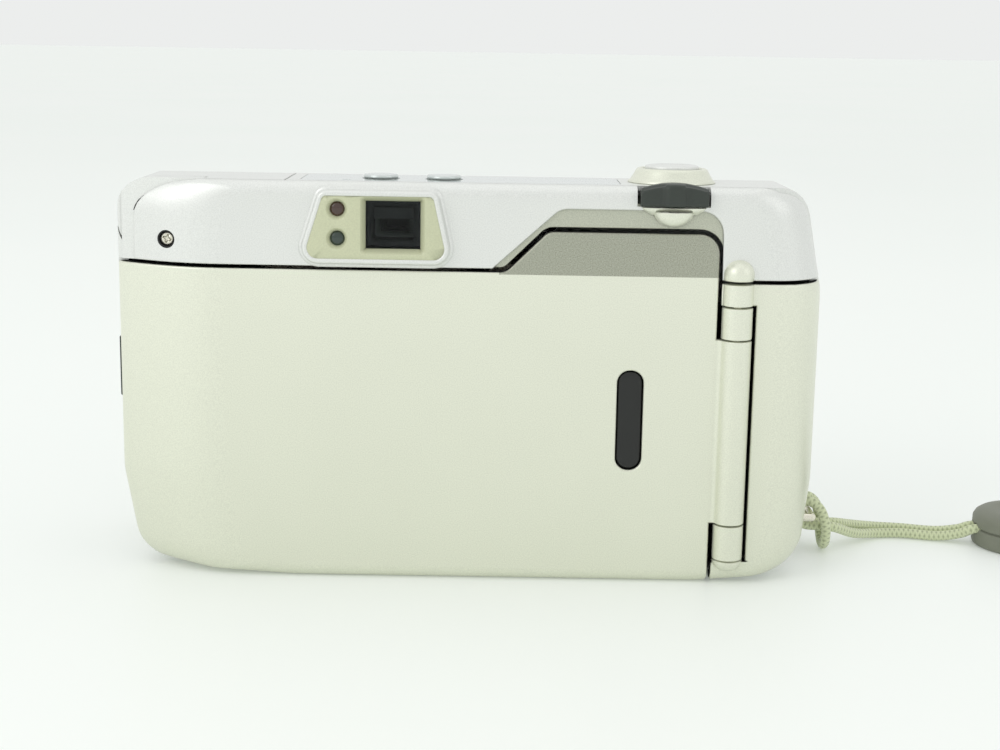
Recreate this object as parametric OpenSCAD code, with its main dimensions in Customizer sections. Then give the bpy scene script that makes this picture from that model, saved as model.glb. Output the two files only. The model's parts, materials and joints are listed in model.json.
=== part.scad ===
// Compact autofocus zoom film camera with a hinged back, a pop-up flash and a wrist strap.
// Origin: mouth of the tripod socket, on the base, below the lens axis.
// +X is the user's right, +Y points at the subject, +Z is up. Millimetres.

/* [Body] */
// Width across the two ends
body_w = 119; // [117:0.5:145]
// Height of the body without the shutter button
body_h = 67.2; // [66:0.2:82]
// Depth from the back to the front face
body_d = 40; // [39.5:0.5:48]
// How far the middle of the body lies to the right of the lens
body_shift = 7.6; // [6.6:0.2:8.6]
// Wall of the moulded covers
wall = 1.7; // [1.4:0.1:1.9]
// Visible gap between two covers
cover_gap = 0.6; // [0.4:0.1:0.8]

/* [Film] */
// Width of the picture on the film
gate_w = 36; // [24:1:36]
// Height of the picture on the film
gate_h = 24; // [17:1:24]
// Radius of the room for the film cartridge
cartridge_r = 12.9; // [12.7:0.1:13.1]
// Radius of the room for the take-up spool
spool_room_r = 10.9; // [10.5:0.1:11]
// Radius of the take-up spool
spool_r = 7.6; // [7.4:0.1:9]
// Teeth of the gears on the spool and the rewind fork
end_teeth = 28; // [28:2:28]
// Teeth of the three gears between them
idler_teeth = 38; // [38:2:38]
// Module of the film gears
gear_module = 0.5; // [0.5:0.1:0.5]

/* [Lens] */
// Height of the lens axis over the base
lens_z = 27; // [26:0.5:28]
// Outer radius of the widest moving barrel
barrel_r = 18.9; // [17.5:0.1:19.2]
// Step in radius from one barrel to the next
barrel_step = 1.5; // [1.4:0.1:1.6]
// Radius of the hole in front of the lens
aperture_r = 6.5; // [5:0.1:6.8]

/* [Back] */
// Radius of the hinge barrel
hinge_r = 2.55; // [2.3:0.05:2.7]
// Radius of the hinge pin
pin_r = 0.8; // [0.6:0.05:1.1]
// Width of the window onto the cartridge
window_w = 4.4; // [3.6:0.2:6]
// Height of the window onto the cartridge
window_h = 17; // [14:0.5:22]

/* [Fits] */
// Radial clearance of a shaft in its bore
running = 0.06; // [0.03:0.01:0.09]
// Gap between parts that slide or swing past each other
clear = 0.3; // [0.25:0.05:0.4]

/* [Strap] */
// Diameter of the strap's cord
cord_d = 1.8; // [1.6:0.1:2]

/* [Hidden] */
$fn = 48;
EPS = 0.01;
ARC_STEPS = 5; // straight pieces in a rounded corner of an outline

// Body faces
left = body_shift - body_w / 2;
right = body_shift + body_w / 2;
rear = -body_d / 2;
front = body_d / 2;
top = body_h;

// Parting lines
seam_y = rear + 2.6;             // back cover against front cover, on top
door_seam_y = rear + 8.4;        // door against front cover, below and at the left end
gap_z = top - 14.1;              // door against back cover, left of the step
door_top = top - 7.3;            // door against back cover, right of the step
right_gap_z = top - 15.4;        // right cover against back cover
hinge_x = right - 15;
hinge_y = rear + 0.4;
door_right = hinge_x - 3;
window_z = 28.2;
slot_right = hinge_x + 3.1;      // right edge of the slot that the hinge turns in
step_x = door_right - 28.6;      // top of the door's slanting step

// Hinge knuckles, from the top
knuckle_gap = 0.3;
knuckle_a = 47.9;
knuckle_b = 42.1;
knuckle_c = 10.8;
knuckle_d = 4.6;

// Film path
film_y = rear + 5.8;
plate_y = film_y + 0.3;          // back face of the chassis
chassis_floor = 2.4;
spool_floor = 7;                 // the spool's room stands higher, clear of the tapered end
chassis_top = 51.2;
room_low = 3.4;
room_high = 50.2;
room_wall = 1;
drive_y = rear + 15;             // axis of the spool, the gears and the cartridge
gear_low = chassis_top + 0.7;
gear_high = gear_low + 1.5;
end_gear_r = gear_module * end_teeth / 2;
idler_r = gear_module * idler_teeth / 2;
train = 2 * end_gear_r + 6 * idler_r;
cartridge_x = 34.8;
spool_x = cartridge_x - train;
motor_r = 6;
post_r = 1;

// Lens
guide_r = barrel_r + 0.3 + 1.3;
barrel_wall = 1;
barrel_rear = rear + 15;
tunnel_front = barrel_rear - 1.1;
barrier_pivot = aperture_r + 4;

// Top
button_x = right - 25.6;
button_y = rear + 11;
rocker_x = button_x - 0.5;
rocker_y = rear + 3.4;
rocker_low = top - 3.1;
panel_x = [-20.5, 32.5];
panel_y = [seam_y + 1, rear + 17];
panel_t = 0.6;
small_button_r = 2.9;
mode_x = -7.5;
timer_x = 3.1;
small_button_y = rear + 9.9;

// Finder
finder_x = -4.8;
finder_z = top - 6.8;
bezel_rise = 1.6;

// Flash head
flash_r = 6.45;
flash_x = left + flash_r + 0.05;
flash_z = top - 6.5;
flash_reach = 23.3;
flash_plate_r = 11.4;
flash_floor = gap_z + 1.4;

// Battery
battery_x = right - 12.5;
battery_y = front - 11.4;
battery_r = 8.5;
battery_low = 7;
lid_x = right - 19.8;
lid_y = [battery_y - 10.6, battery_y + 7.4];
lid_axis_z = 0.85;

// Strap: the cord leaves the lug's eye, makes the hitch, and runs along the table to the slider
lug_y = 1.5;
lug_z = 7;
lug_legs = [lug_y - 3.8, lug_y + 3.8];
slider_x = 111;
slider_y = 6.5;
slider_r = 9.5;
hitch_and_front_strand = [
    [67.6, 0.5, 7.2], [67.9, 0.3, 8.6], [69.4, -0.4, 9.5], [71.3, -1.2, 8.2], [72.3, -1.7, 5.4],
    [72.5, -0.9, 2.4], [72.5, 1.5, 1.0], [72.5, 3.9, 2.4], [72.3, 4.7, 5.4], [71.3, 4.2, 8.2],
    [69.4, 3.4, 9.5], [67.9, 2.7, 8.6], [67.6, 2.5, 7.0], [67.9, 2.45, 5.5], [69.4, 2.45, 4.8],
    [72.4, 2.45, 4.7], [75, 3.7, 4.4], [79, 7.5, 3.0], [84, 10.9, 1.7], [89, 11.2, 1.4],
    [95, 9.7, 1.4], [99, 8.4, 2.2], [102, 7.6, 3.2]];
back_strand = [
    [67.6, 0.55, 6.8], [67.9, 0.55, 5.5], [69.4, 0.55, 4.8], [72.4, 0.55, 4.7], [75, 1.6, 4.0],
    [79, 5.2, 2.0], [84, 9.0, 0.95], [89, 9.3, 0.95], [95, 7.8, 0.95], [99, 6.4, 1.9], [102, 5.4, 3.2]];
after_slider = [[[120, 5.4, 3.2], [123, 4.2, 1.8], [126, 2.6, 1.0]],
    [[120, 7.6, 3.2], [123, 9, 4.6], [126, 10.8, 5.8]]];
hank_x = [131, 153];
hank_r = 5;
hank_h = 7;
TUBE_SIDES = 8;

// ---- Outlines -------------------------------------------------------------------------

function unit(v) = v / norm(v);
function flat(p) = [p[0], p[1]];
function inward(v) = [-v[1], v[0]];

// The outline moved inwards by t; points are [x, y, corner radius], anticlockwise.
function inset(p, t) = [
    for (i = [0 : len(p) - 1])
        let (
            a = flat(p[(i + len(p) - 1) % len(p)]),
            b = flat(p[i]),
            c = flat(p[(i + 1) % len(p)]),
            n = inward(unit(b - a)),
            m = inward(unit(c - b)),
            moved = b + (n + m) * t / (1 + n * m)
        )
        [moved[0], moved[1], max(p[i][2] - t, 0.3)]];

// The arc that rounds the corner b between a and c.
function corner(a, b, c, r) =
    let (
        u = unit(a - b),
        v = unit(c - b),
        half = acos(u * v) / 2,
        s = b + u * r / tan(half),
        e = b + v * r / tan(half),
        m = b + unit(u + v) * r / sin(half),
        from = atan2(s[1] - m[1], s[0] - m[0]),
        turn = (atan2(e[1] - m[1], e[0] - m[0]) - from + 540) % 360 - 180
    )
    [for (i = [0 : ARC_STEPS]) m + r * [cos(from + turn * i / ARC_STEPS), sin(from + turn * i / ARC_STEPS)]];

function rounded(p) = [
    for (i = [0 : len(p) - 1])
        each corner(flat(p[(i + len(p) - 1) % len(p)]), flat(p[i]), flat(p[(i + 1) % len(p)]), p[i][2])];

function box_outline_flat(x, y) = [[x[0], y[0]], [x[1], y[0]], [x[1], y[1]], [x[0], y[1]]];
function box_outline(x, y, r) = [[x[0], y[0], r], [x[1], y[0], r], [x[1], y[1], r], [x[0], y[1], r]];

plan_outline = [
    [left + 12.8, rear, 42], [right, rear, 9], [right, front, 9], [left, front, 7], [left, rear + 6.9, 4]];
face_outline = [
    [left + 2.8, 1.6, 6], [left + 22, 0, 60], [right - 20, 0, 60], [right - 1.6, 1.6, 7],
    [right, 17, 20], [right, top - 17, 20], [right - 3.6, top, 6], [left, top, 6.5], [left, 17, 20]];
end_outline = [[rear, 0, 2.4], [front, 0, 4], [front, top - 3, 4], [rear + 19, top, 25], [rear, top, 2.2]];
door_outline = [
    [left - 6, -4, 1], [door_right, -4, 1], [door_right, door_top, 3.6], [step_x, door_top, 2],
    [step_x - 6.9, gap_z, 2], [left - 6, gap_z, 1]];
band_outline = [
    [step_x - 8.2, gap_z - 3, 0.5], [door_right + 0.2, gap_z - 3, 0.5],
    [door_right + 0.2, door_top + 3.5, 3.8], [step_x + 1.9, door_top + 3.5, 3], [step_x - 8.2, gap_z, 1]];
pod_outline = [
    [-20.6, gap_z + 0.9, 2.6], [5.1, gap_z + 0.9, 2.6], [2.4, top - 1.3, 1.6], [-16.8, top - 1.3, 1.6]];

module across(y0, y1) {          // an outline in X and Z, from y0 to y1
    translate([0, y1, 0]) rotate([90, 0, 0]) linear_extrude(y1 - y0) children();
}

module endwise(x0, x1) {         // an outline in Y and Z, from x0 to x1
    translate([x0, 0, 0]) rotate([90, 0, 90]) linear_extrude(x1 - x0) children();
}

module block(x, y, z) {          // a box between two values on each axis
    translate([x[0], y[0], z[0]]) cube([x[1] - x[0], y[1] - y[0], z[1] - z[0]]);
}

module rod(x, y, r, z0, z1) {    // an upright cylinder
    translate([x, y, z0]) cylinder(r = r, h = z1 - z0);
}

module rod_y(x, z, r, y0, y1) {  // a cylinder along the lens axis
    translate([x, y1, z]) rotate([90, 0, 0]) cylinder(r = r, h = y1 - y0);
}

module rod_x(x0, x1, y, z, r) {  // a cylinder along the body
    translate([x0, y, z]) rotate([0, 90, 0]) cylinder(r = r, h = x1 - x0);
}

module ring_y(x, z, r_out, r_in, y0, y1) {
    difference() {
        rod_y(x, z, r_out, y0, y1);
        rod_y(x, z, r_in, y0 - EPS, y1 + EPS);
    }
}

// The body's outer shape, moved inwards by t.
module envelope(t) {
    intersection() {
        translate([0, 0, -1]) linear_extrude(top + 2) polygon(rounded(inset(plan_outline, t)));
        across(rear - 1, front + 1) polygon(rounded(inset(face_outline, t)));
        endwise(left - 1, right + 1) polygon(rounded(inset(end_outline, t)));
    }
}

module shell() {
    difference() {
        envelope(0);
        envelope(wall);
    }
}

// Everything behind the seam between the back and the front covers, which runs forward at both ends.
module behind_seam(grow) {
    translate([0, 0, -2]) linear_extrude(top + 10)
        polygon([[left - 4, rear - 6], [right + 4, rear - 6], [right + 4, seam_y + 9 + grow],
            [slot_right + 3, seam_y + grow], [left + 14, seam_y + grow], [left - 4, seam_y + 4.9 + grow]]);
}

module door_zone(grow, y1) {
    across(rear - 6, y1) polygon(rounded(inset(door_outline, -grow)));
}

// The flash head's room: a disc round its pivot, and a plate that reaches to the right of it.
// Both of the plate's ends are arcs round the pivot, so that they clear the covers as it rises.
module flash_zone(grow) {
    hub_y = seam_y + 4.2 - grow;
    floor_z = flash_floor - flash_z - grow;
    translate([flash_x, 0, flash_z]) {
        intersection() {
            rod_y(0, 0, flash_reach + grow, seam_y + 0.3 - grow, front + 2);
            difference() {
                block([0, flash_reach + 10], [rear, front + 3], [floor_z, 20]);
                rod_y(0, 0, flash_plate_r - grow, rear - 1, hub_y);
            }
        }
        rod_y(0, 0, flash_r + grow, hub_y, front + 2);
    }
}

module lid_zone(grow) {
    y = [lid_y[0] - grow, lid_y[1] + grow];
    block([lid_x - EPS, right - 2.7 + 1.5 * grow], y, [-2, 4.2 + grow]);
    rod_y(lid_x, lid_axis_z, lid_axis_z + grow, y[0], y[1]);
}

// ---- Covers ---------------------------------------------------------------------------

module front_cover() color("gainsboro") difference() {
    shell();
    behind_seam(cover_gap / 4);
    door_zone(cover_gap / 2, door_seam_y + cover_gap / 2);
    flash_zone(0.35);
    lid_zone(clear);
    rod_y(0, lens_z, guide_r + 0.4, front - 4, front + 2);
    across(front - 1.2, front + 1) polygon(rounded(box_outline([-20, 16], [top - 15, top - 6], 2)));
    block([-16, 12], [front - 3, front], [top - 13.4, top - 7.6]);
    rod_y(22, top - 10, 1.6, front - 3, front + 1);
    translate([0, 0, top - panel_t - 0.05]) linear_extrude(2)
        polygon(rounded(inset(box_outline(panel_x, panel_y, 1.5), -0.1)));
    for (x = [mode_x, timer_x]) rod(x, small_button_y, small_button_r - 0.7 + clear, top - 4, top + 1);
    rod(button_x, button_y, 5.5, top - 4, top + 1);
    rod(0, 0, 5.05, -1, 3);
    block([left - 1, left + 3], [rear + 10, rear + 14], [24, 40]);
    for (y = lug_legs) rod_x(right - 4, right + 2, y, lug_z, 0.85);
    for (p = base_screws) rod(p[0], p[1], 1.5, -1, 3);
    rod_y(back_screw[0], back_screw[1], 0.9, rear, rear + 6.4);
}

base_screws = [[-40, 4], [-24, 13], [36, 12]];
back_screw = [left + 9.5, top - 10];

module rear_cover() color("gainsboro") difference() {
    union() {
        intersection() {
            shell();
            behind_seam(-cover_gap / 4);
            block([left - 1, right + 1], [rear - 1, front], [gap_z - 2, top + 1]);
        }
        across(rear - bezel_rise, rear + EPS) polygon(rounded(pod_outline));
        rocker_shelf();
        hinge_dome();
    }
    door_zone(cover_gap / 2, front);
    block([door_right - 2, right + 1], [rear - 4, front], [-1, right_gap_z + cover_gap / 2]);
    across(rear - 1, rear + 0.7) polygon(rounded(band_outline));
    finder_pocket();
    rocker_bay();
    rod_y(back_screw[0], back_screw[1], 1.5, rear - 1, rear + 3.4);
    rod_y(back_screw[0], back_screw[1], 0.9, rear, rear + 6);
}

module rocker_shelf() {
    block([rocker_x - 5.4, rocker_x + 5.4], [rear - 1.2, seam_y - 0.2], [rocker_low - 1.1, rocker_low - 0.1]);
    intersection() {
        translate([rocker_x, rear + 1.3, rocker_low - 0.4]) sphere(r = 3.4);
        block([rocker_x - 5, rocker_x + 5], [rear - 4, rear + wall], [rocker_low - 5, rocker_low - 0.5]);
    }
}

module rocker_bay() {
    block([rocker_x - 6, rocker_x + 6], [rear - 1, seam_y + 1], [rocker_low - 0.1, top + 1]);
    rod(rocker_x, rocker_y - 1.6, 0.8 + running, rocker_low - 3, rocker_low + 1);
}

module hinge_dome() {
    intersection() {
        union() {
            rod(hinge_x, hinge_y, hinge_r, right_gap_z, right_gap_z + 1.2);
            translate([hinge_x, hinge_y, right_gap_z + 1.2]) sphere(r = hinge_r);
        }
        block([hinge_x - 4, hinge_x + 4], [rear - 4, rear + wall], [right_gap_z, top]);
    }
}

module finder_pocket() {
    across(rear - bezel_rise - 1, rear - bezel_rise + 0.9) polygon(rounded(inset(pod_outline, 0.9)));
    block([finder_x - 4.9, finder_x + 4.9], [rear - 3, seam_y + 1], [finder_z - 4.3, finder_z + 4.3]);
    for (z = [finder_z + 2.5, finder_z - 2.3]) rod_y(finder_x - 9.1, z, 1.3, rear - 3, seam_y + 1);
}

module right_cover() color("wheat") difference() {
    union() {
        intersection() {
            shell();
            behind_seam(-cover_gap / 4);
            block([door_right + cover_gap / 2, right + 1], [rear - 1, front],
                [-1, right_gap_z - cover_gap / 2]);
        }
        rod(hinge_x, hinge_y, hinge_r, knuckle_a, right_gap_z - cover_gap / 2);
        rod(hinge_x, hinge_y, hinge_r, 2.6 + hinge_r * 0.4, knuckle_d - knuckle_gap);
    }
    difference() {
        block([door_right - 1, slot_right], [rear - 4, rear + 6], [knuckle_d - knuckle_gap, knuckle_a]);
        rod(hinge_x, hinge_y, hinge_r + 1, knuckle_a, knuckle_a + 5);
    }
    rod(hinge_x, hinge_y, pin_r + running, 3.4, right_gap_z + 1);
}

module hinge_bracket() color("silver") difference() {
    union() {
        for (z = [[knuckle_b + knuckle_gap, knuckle_a - knuckle_gap], [knuckle_d, knuckle_c - knuckle_gap]]) {
            rod(hinge_x, hinge_y, hinge_r, z[0], z[1]);
            block([hinge_x - 1.4, hinge_x + 1.4], [hinge_y, hinge_y + 4.2], z);
        }
        block([hinge_x - 2, hinge_x + 2], [hinge_y + 3.2, hinge_y + 4.2],
            [knuckle_d, knuckle_a - knuckle_gap]);
    }
    rod(hinge_x, hinge_y, pin_r + running, 0, top);
}

module hinge_pin() color("silver") rod(hinge_x, hinge_y, pin_r, 3.5, right_gap_z - 0.6);

// ---- Back door ------------------------------------------------------------------------

module rear_door() color("wheat") difference() {
    union() {
        intersection() {
            shell();
            door_zone(-cover_gap / 2, door_seam_y - cover_gap / 2);
        }
        rod(hinge_x, hinge_y, hinge_r, knuckle_c, knuckle_b);
        block([door_right - 1.5, hinge_x], [rear, rear + wall], [knuckle_c, knuckle_b]);
    }
    rod(hinge_x, hinge_y, pin_r + running, 0, top);
    window_hole(0.1);
    latch_notch();
}

module window_hole(grow) {
    across(rear - 1, rear + 3)
        polygon(rounded(box_outline([cartridge_x - window_w / 2 - grow, cartridge_x + window_w / 2 + grow],
            [window_z - window_h / 2 - grow, window_z + window_h / 2 + grow], window_w / 2 + grow - 0.02)));
}

module latch_notch() block([left + 1, left + 3], [door_seam_y - 1.6, door_seam_y], [29, 35]);

module film_window() color("dimgray") {
    intersection() {
        window_hole(-0.1);
        block([0, 60], [rear + 0.3, rear + wall + 0.1], [0, 60]);
    }
    across(rear + wall + 0.05, rear + wall + 0.65)
        polygon(rounded(box_outline([cartridge_x - window_w / 2 - 1, cartridge_x + window_w / 2 + 1],
            [window_z - window_h / 2 - 1, window_z + window_h / 2 + 1], 2)));
}

module pressure_plate() color("black") difference() {
    across(film_y - 1.35, film_y - 0.15)
        polygon(rounded(box_outline([-23, 20], [lens_z - 17.5, lens_z + 17.5], 2)));
    for (x = [-14, 11]) rod_y(x, lens_z, 1.2, film_y - 3, film_y + 1);
}

module plate_spring() color("silver") across(rear + wall + 0.1, rear + wall + 0.4) union() {
    polygon(box_outline_flat([-16, 13], [lens_z - 4, lens_z + 4]));
    polygon(box_outline_flat([-5, 2], [lens_z - 12, lens_z + 12]));
}

module door_latch() color("silver") union() {
    block([left - 0.6, left + 0.5], [rear + 10.3, rear + 13.7], [29, 39.4]);
    block([left + 0.5, left + 2.4], [rear + 10.3, rear + 13.7], [30, 39]);
    block([left + 2.4, left + 3.4], [rear + 9.2, rear + 14.2], [27, 39.6]);
}

module light_seals() color("black")
    for (z = [chassis_floor + 0.1, chassis_top - 0.9])
        block([spool_x, cartridge_x + 12], [plate_y - 0.9, plate_y - 0.02], [z, z + 0.8]);

// ---- Chassis and film drive -----------------------------------------------------------

module chassis() color("dimgray") difference() {
    intersection() {
        envelope(wall + 0.15);
        chassis_casting();
    }
    rod(cartridge_x, drive_y, cartridge_r, room_low, room_high);
    rod(spool_x, drive_y, spool_room_r, spool_floor + room_wall, room_high);
    block([-gate_w / 2, gate_w / 2], [rear, drive_y], [lens_z - gate_h / 2, lens_z + gate_h / 2]);
    rod(cartridge_x, drive_y, 2 + running, room_high - 1, chassis_top + 1);
    rod(spool_x, drive_y, 3 + running, room_high - 1, chassis_top + 1);
    for (p = base_screws) rod(p[0], p[1], 0.85, 0, chassis_floor + 3.5);
}

module chassis_casting() {
    block([left + 7, cartridge_x + 13.4], [plate_y, plate_y + 2], [chassis_floor, chassis_top]);
    intersection() {
        union() {
            rod(cartridge_x, drive_y, cartridge_r + room_wall, chassis_floor, chassis_top);
            rod(spool_x, drive_y, spool_room_r + room_wall, spool_floor, chassis_top);
        }
        block([left, right], [plate_y, front], [0, top]);
    }
    block([spool_x, cartridge_x], [plate_y, drive_y + 9], [room_high, chassis_top]);
    block([-gate_w / 2 - 2.5, gate_w / 2 + 2.5], [plate_y, tunnel_front],
        [lens_z - gate_h / 2 - 3, lens_z + gate_h / 2 + 3]);
    for (z = [lens_z - gate_h / 2 - 1.2, lens_z + gate_h / 2 + 0.4])
        block([-24, 21], [film_y, plate_y + EPS], [z, z + 0.8]);
    for (i = [0 : 2]) rod(idler_x(i), drive_y, post_r, chassis_top - EPS, gear_high + 0.3);
    screw_posts();
}

module screw_posts() {
    rod(base_screws[0][0], base_screws[0][1], 2, wall, spool_floor + room_wall);
    for (i = [1, 2]) rod(base_screws[i][0], base_screws[i][1], 2, wall, chassis_floor + 2.6);
    beam_y = [drive_y + 11.6, drive_y + 14];
    block([base_screws[1][0] - 1, base_screws[2][0] + 1], beam_y, [chassis_floor, chassis_floor + 1]);
    for (i = [1, 2]) block([base_screws[i][0] - 1, base_screws[i][0] + 1], [beam_y[0], base_screws[i][1]],
        [chassis_floor, chassis_floor + 1]);
}

function idler_x(i) = spool_x + end_gear_r + idler_r * (2 * i + 1);

// One tooth: how far round in pitches, and how far outside the pitch circle.
tooth = [[-0.34, -0.96 * gear_module], [-0.11, 0.64 * gear_module],
    [0.11, 0.64 * gear_module], [0.34, -0.96 * gear_module]];

// A gear about the origin with a tooth, or with half a pitch of turn a gap, along X.
module gear(teeth, bore, half_pitch) {
    r = gear_module * teeth / 2;
    pitch = 360 / teeth;
    start = half_pitch ? 0.5 : 0;
    difference() {
        translate([0, 0, gear_low]) linear_extrude(gear_high - gear_low) polygon([
            for (i = [0 : teeth - 1])
                each [for (c = tooth) let (a = (i + c[0] + start) * pitch) (r + c[1]) * [cos(a), sin(a)]]]);
        if (bore > 0) rod(0, 0, bore, 0, top);
    }
}

module idler(i) color("ivory") translate([idler_x(i), drive_y, 0])
    gear(idler_teeth, post_r + running, i != 1);

module idler_gear_a() idler(0);
module idler_gear_b() idler(1);
module idler_gear_c() idler(2);

module take_up_spool() color("black") translate([spool_x, drive_y, 0]) {
    difference() {
        union() {
            rod(0, 0, spool_r, spool_floor + 1.5, room_high - 0.5);
            rod(0, 0, 3, room_high - 1, gear_low + EPS);
            for (a = [0, 120, 240], z = [lens_z - 14, lens_z + 13])
                rotate(a) block([spool_r - 0.5, spool_r + 0.7], [-0.7, 0.7], [z, z + 1]);
        }
        rod(0, 0, motor_r + 0.4, spool_floor, 46);
    }
    gear(end_teeth, 0, false);
}

module rewind_fork() color("ivory") translate([cartridge_x, drive_y, 0]) {
    rod(0, 0, 2, room_high - 2.6, gear_low + EPS);
    rotate(35) block([-2.7, 2.7], [-0.6, 0.6], [room_high - 4.6, room_high - 2.5]);
    gear(end_teeth, 0, false);
}

module spool_motor() color("silver") {
    rod(spool_x, drive_y, motor_r, spool_floor + room_wall + 0.02, 42);
    rod(spool_x, drive_y, 1, 42, 45);
}

module zoom_motor() color("silver") {
    rod(spool_x + 5.2, front - 7.4, 5, 7, 30);
    rod(spool_x + 5.2, front - 7.4, 2.4, 30, 34);
}

module flash_capacitor() color("steelblue") rod(spool_x - 7.1, front - 7.4, 5, 9, 46);

module main_board() color("seagreen") block([25.5, 44], [front - 8.4, front - 7.2], [6, 49]);

module dx_contacts() color("gold")
    for (i = [0 : 4]) translate([cartridge_x, drive_y, 18 + i * 4.4]) rotate([0, 0, 62])
        rotate([0, 90, 0]) translate([0, 0, cartridge_r - 0.35]) cylinder(r = 0.7, h = 0.33);

// ---- Power ----------------------------------------------------------------------------

module battery() color("dimgray") {
    rod(battery_x, battery_y, battery_r, battery_low - 0.2, battery_low + 33.4);
    rod(battery_x, battery_y, 3, battery_low + 33.4 - EPS, battery_low + 34.3);
}

module battery_holder() color("black") difference() {
    rod(battery_x, battery_y, battery_r + 0.6, battery_low, battery_low + 36);
    rod(battery_x, battery_y, battery_r + 0.15, battery_low - 1, battery_low + 35);
}

module battery_door() color("gainsboro") union() {
    intersection() {
        shell();
        lid_zone(0);
        block([lid_x, right], [rear, front], [-1, top]);
    }
    rod_y(lid_x, lid_axis_z, lid_axis_z, lid_y[0], lid_y[1]);
}

// ---- Finder ---------------------------------------------------------------------------

module finder_bezel() color("beige") difference() {
    across(rear - bezel_rise, rear - bezel_rise + 0.88) polygon(rounded(inset(pod_outline, 1)));
    block([finder_x - 4.9, finder_x + 4.9], [rear - 3, rear], [finder_z - 4.3, finder_z + 4.3]);
    for (z = [finder_z + 2.5, finder_z - 2.3]) rod_y(finder_x - 9.1, z, 1.3, rear - 3, rear);
}

module eyepiece() color("black")
    block([finder_x - 4.8, finder_x + 4.8], [rear - 0.9, rear + 1.2], [finder_z - 4.2, finder_z + 4.2]);

module focus_lamp() color("sienna") rod_y(finder_x - 9.1, finder_z + 2.5, 1.2, rear - 1.1, rear + 1.5);
module flash_lamp() color("darkgreen") rod_y(finder_x - 9.1, finder_z - 2.3, 1.2, rear - 1.1, rear + 1.5);

module finder_tube() color("black") difference() {
    union() {
        block([finder_x - 5.6, finder_x + 5.6], [seam_y, rear + 5.6], [finder_z - 4.9, finder_z + 4.7]);
        block([finder_x - 5.6, finder_x + 5.6], [rear + 5.6 - EPS, front - 2.6],
            [finder_z - 5.3, finder_z + 1.3]);
    }
    block([finder_x - 4.9, finder_x + 4.9], [rear, front], [finder_z - 4.2, finder_z + 0.7]);
}

module finder_objective() color("lightcyan")
    block([finder_x - 4.8, finder_x + 4.8], [front - 5.2, front - 2.7], [finder_z - 4.1, finder_z + 0.6]);

module finder_zoom_lens() color("lightcyan")
    block([finder_x - 4.6, finder_x + 4.6], [rear + 18, rear + 20], [finder_z - 3.9, finder_z + 0.4]);

module front_window() color("black") across(front - 1.1, front)
    polygon(rounded(inset(box_outline([-20, 16], [top - 15, top - 6], 2), 0.1)));

module timer_lamp() color("orangered") rod_y(22, top - 10, 1.5, front - 2.5, front);

// ---- Top ------------------------------------------------------------------------------

module top_panel() color("lightgray") difference() {
    translate([0, 0, top - panel_t]) linear_extrude(panel_t)
        polygon(rounded(box_outline(panel_x, panel_y, 1.5)));
    for (x = [mode_x, timer_x]) rod(x, small_button_y, small_button_r + clear, top - 4, top + 1);
    rod(mode_x - 5.4, rear + 5.6, 0.7, top - 4, top + 1);
}

module small_button(x) {
    rod(x, small_button_y, small_button_r, top - panel_t + 0.65, top + 0.7);
    rod(x, small_button_y, small_button_r - 0.7, top - 4, top + 0.1);
}

module mode_button() color("silver") small_button(mode_x);
module timer_button() color("silver") small_button(timer_x);

module shutter_ring() color("wheat") difference() {
    translate([button_x, button_y, top + 0.02]) cylinder(r1 = 7.4, r2 = 5.7, h = 2.4);
    rod(button_x, button_y, 4.9, top - 1, top + 4);
}

module shutter_button() color("silver") {
    rod(button_x, button_y, 4.6, top + 1.4, top + 2.9);
    rod(button_x, button_y, 1.5, top - 5, top + 1.5);
}

module zoom_rocker() color("dimgray") {
    translate([rocker_x, rear, rocker_low]) linear_extrude(3.8)
        polygon([[-5.5, 0.2], [-5.6, -1.4], [-1.6, -1.7], [-1.5, -2.2], [1.5, -2.2], [1.6, -1.7], [5.6, -1.4],
            [5.5, 0.2], [3, 2.1], [-3, 2.1]]);
    rod(rocker_x, rocker_y - 1.6, 0.8, rocker_low - 2.2, rocker_low + EPS);
}

// ---- Base and fasteners ---------------------------------------------------------------

module tripod_bush() color("silver") difference() {
    union() {
        rod(0, 0, 5, 0, wall + 0.1);
        rod(0, 0, 6, wall + 0.05, 5.6);
    }
    rod(0, 0, 3.175, -1, 5.5);
}

module cover_screws() color("silver") {
    for (p = base_screws) difference() {
        union() {
            rod(p[0], p[1], 1.4, 0.3, 1.2);
            rod(p[0], p[1], 0.8, 1.2 - EPS, chassis_floor + 2.5);
        }
        block([p[0] - 0.9, p[0] + 0.9], [p[1] - 0.18, p[1] + 0.18], [0, 0.7]);
        block([p[0] - 0.18, p[0] + 0.18], [p[1] - 0.9, p[1] + 0.9], [0, 0.7]);
    }
    translate([back_screw[0], rear + 3, back_screw[1]]) difference() {
        union() {
            rod_y(0, 0, 1.25, 0, 0.36);
            rod_y(0, 0, 0.8, 0.3, 3.4);
        }
        block([-0.75, 0.75], [-1, 0.22], [-0.2, 0.2]);
        block([-0.2, 0.2], [-1, 0.22], [-0.75, 0.75]);
    }
}

module strap_lug() color("silver") {
    for (y = lug_legs) rod_x(right - 3.2, right + 2.5, y, lug_z, 0.75);
    rod_y(right + 2.5, lug_z, 0.75, lug_legs[0], lug_legs[1]);
    block([right - 3.7, right - 3.1], [lug_legs[0] - 1.2, lug_legs[1] + 0.8], [lug_z - 0.8, lug_z + 2]);
}

// ---- Lens -----------------------------------------------------------------------------

module lens_guide() color("black") ring_y(0, lens_z, guide_r, barrel_r + 0.3, barrel_rear - 0.9, front - 4.2);

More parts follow.
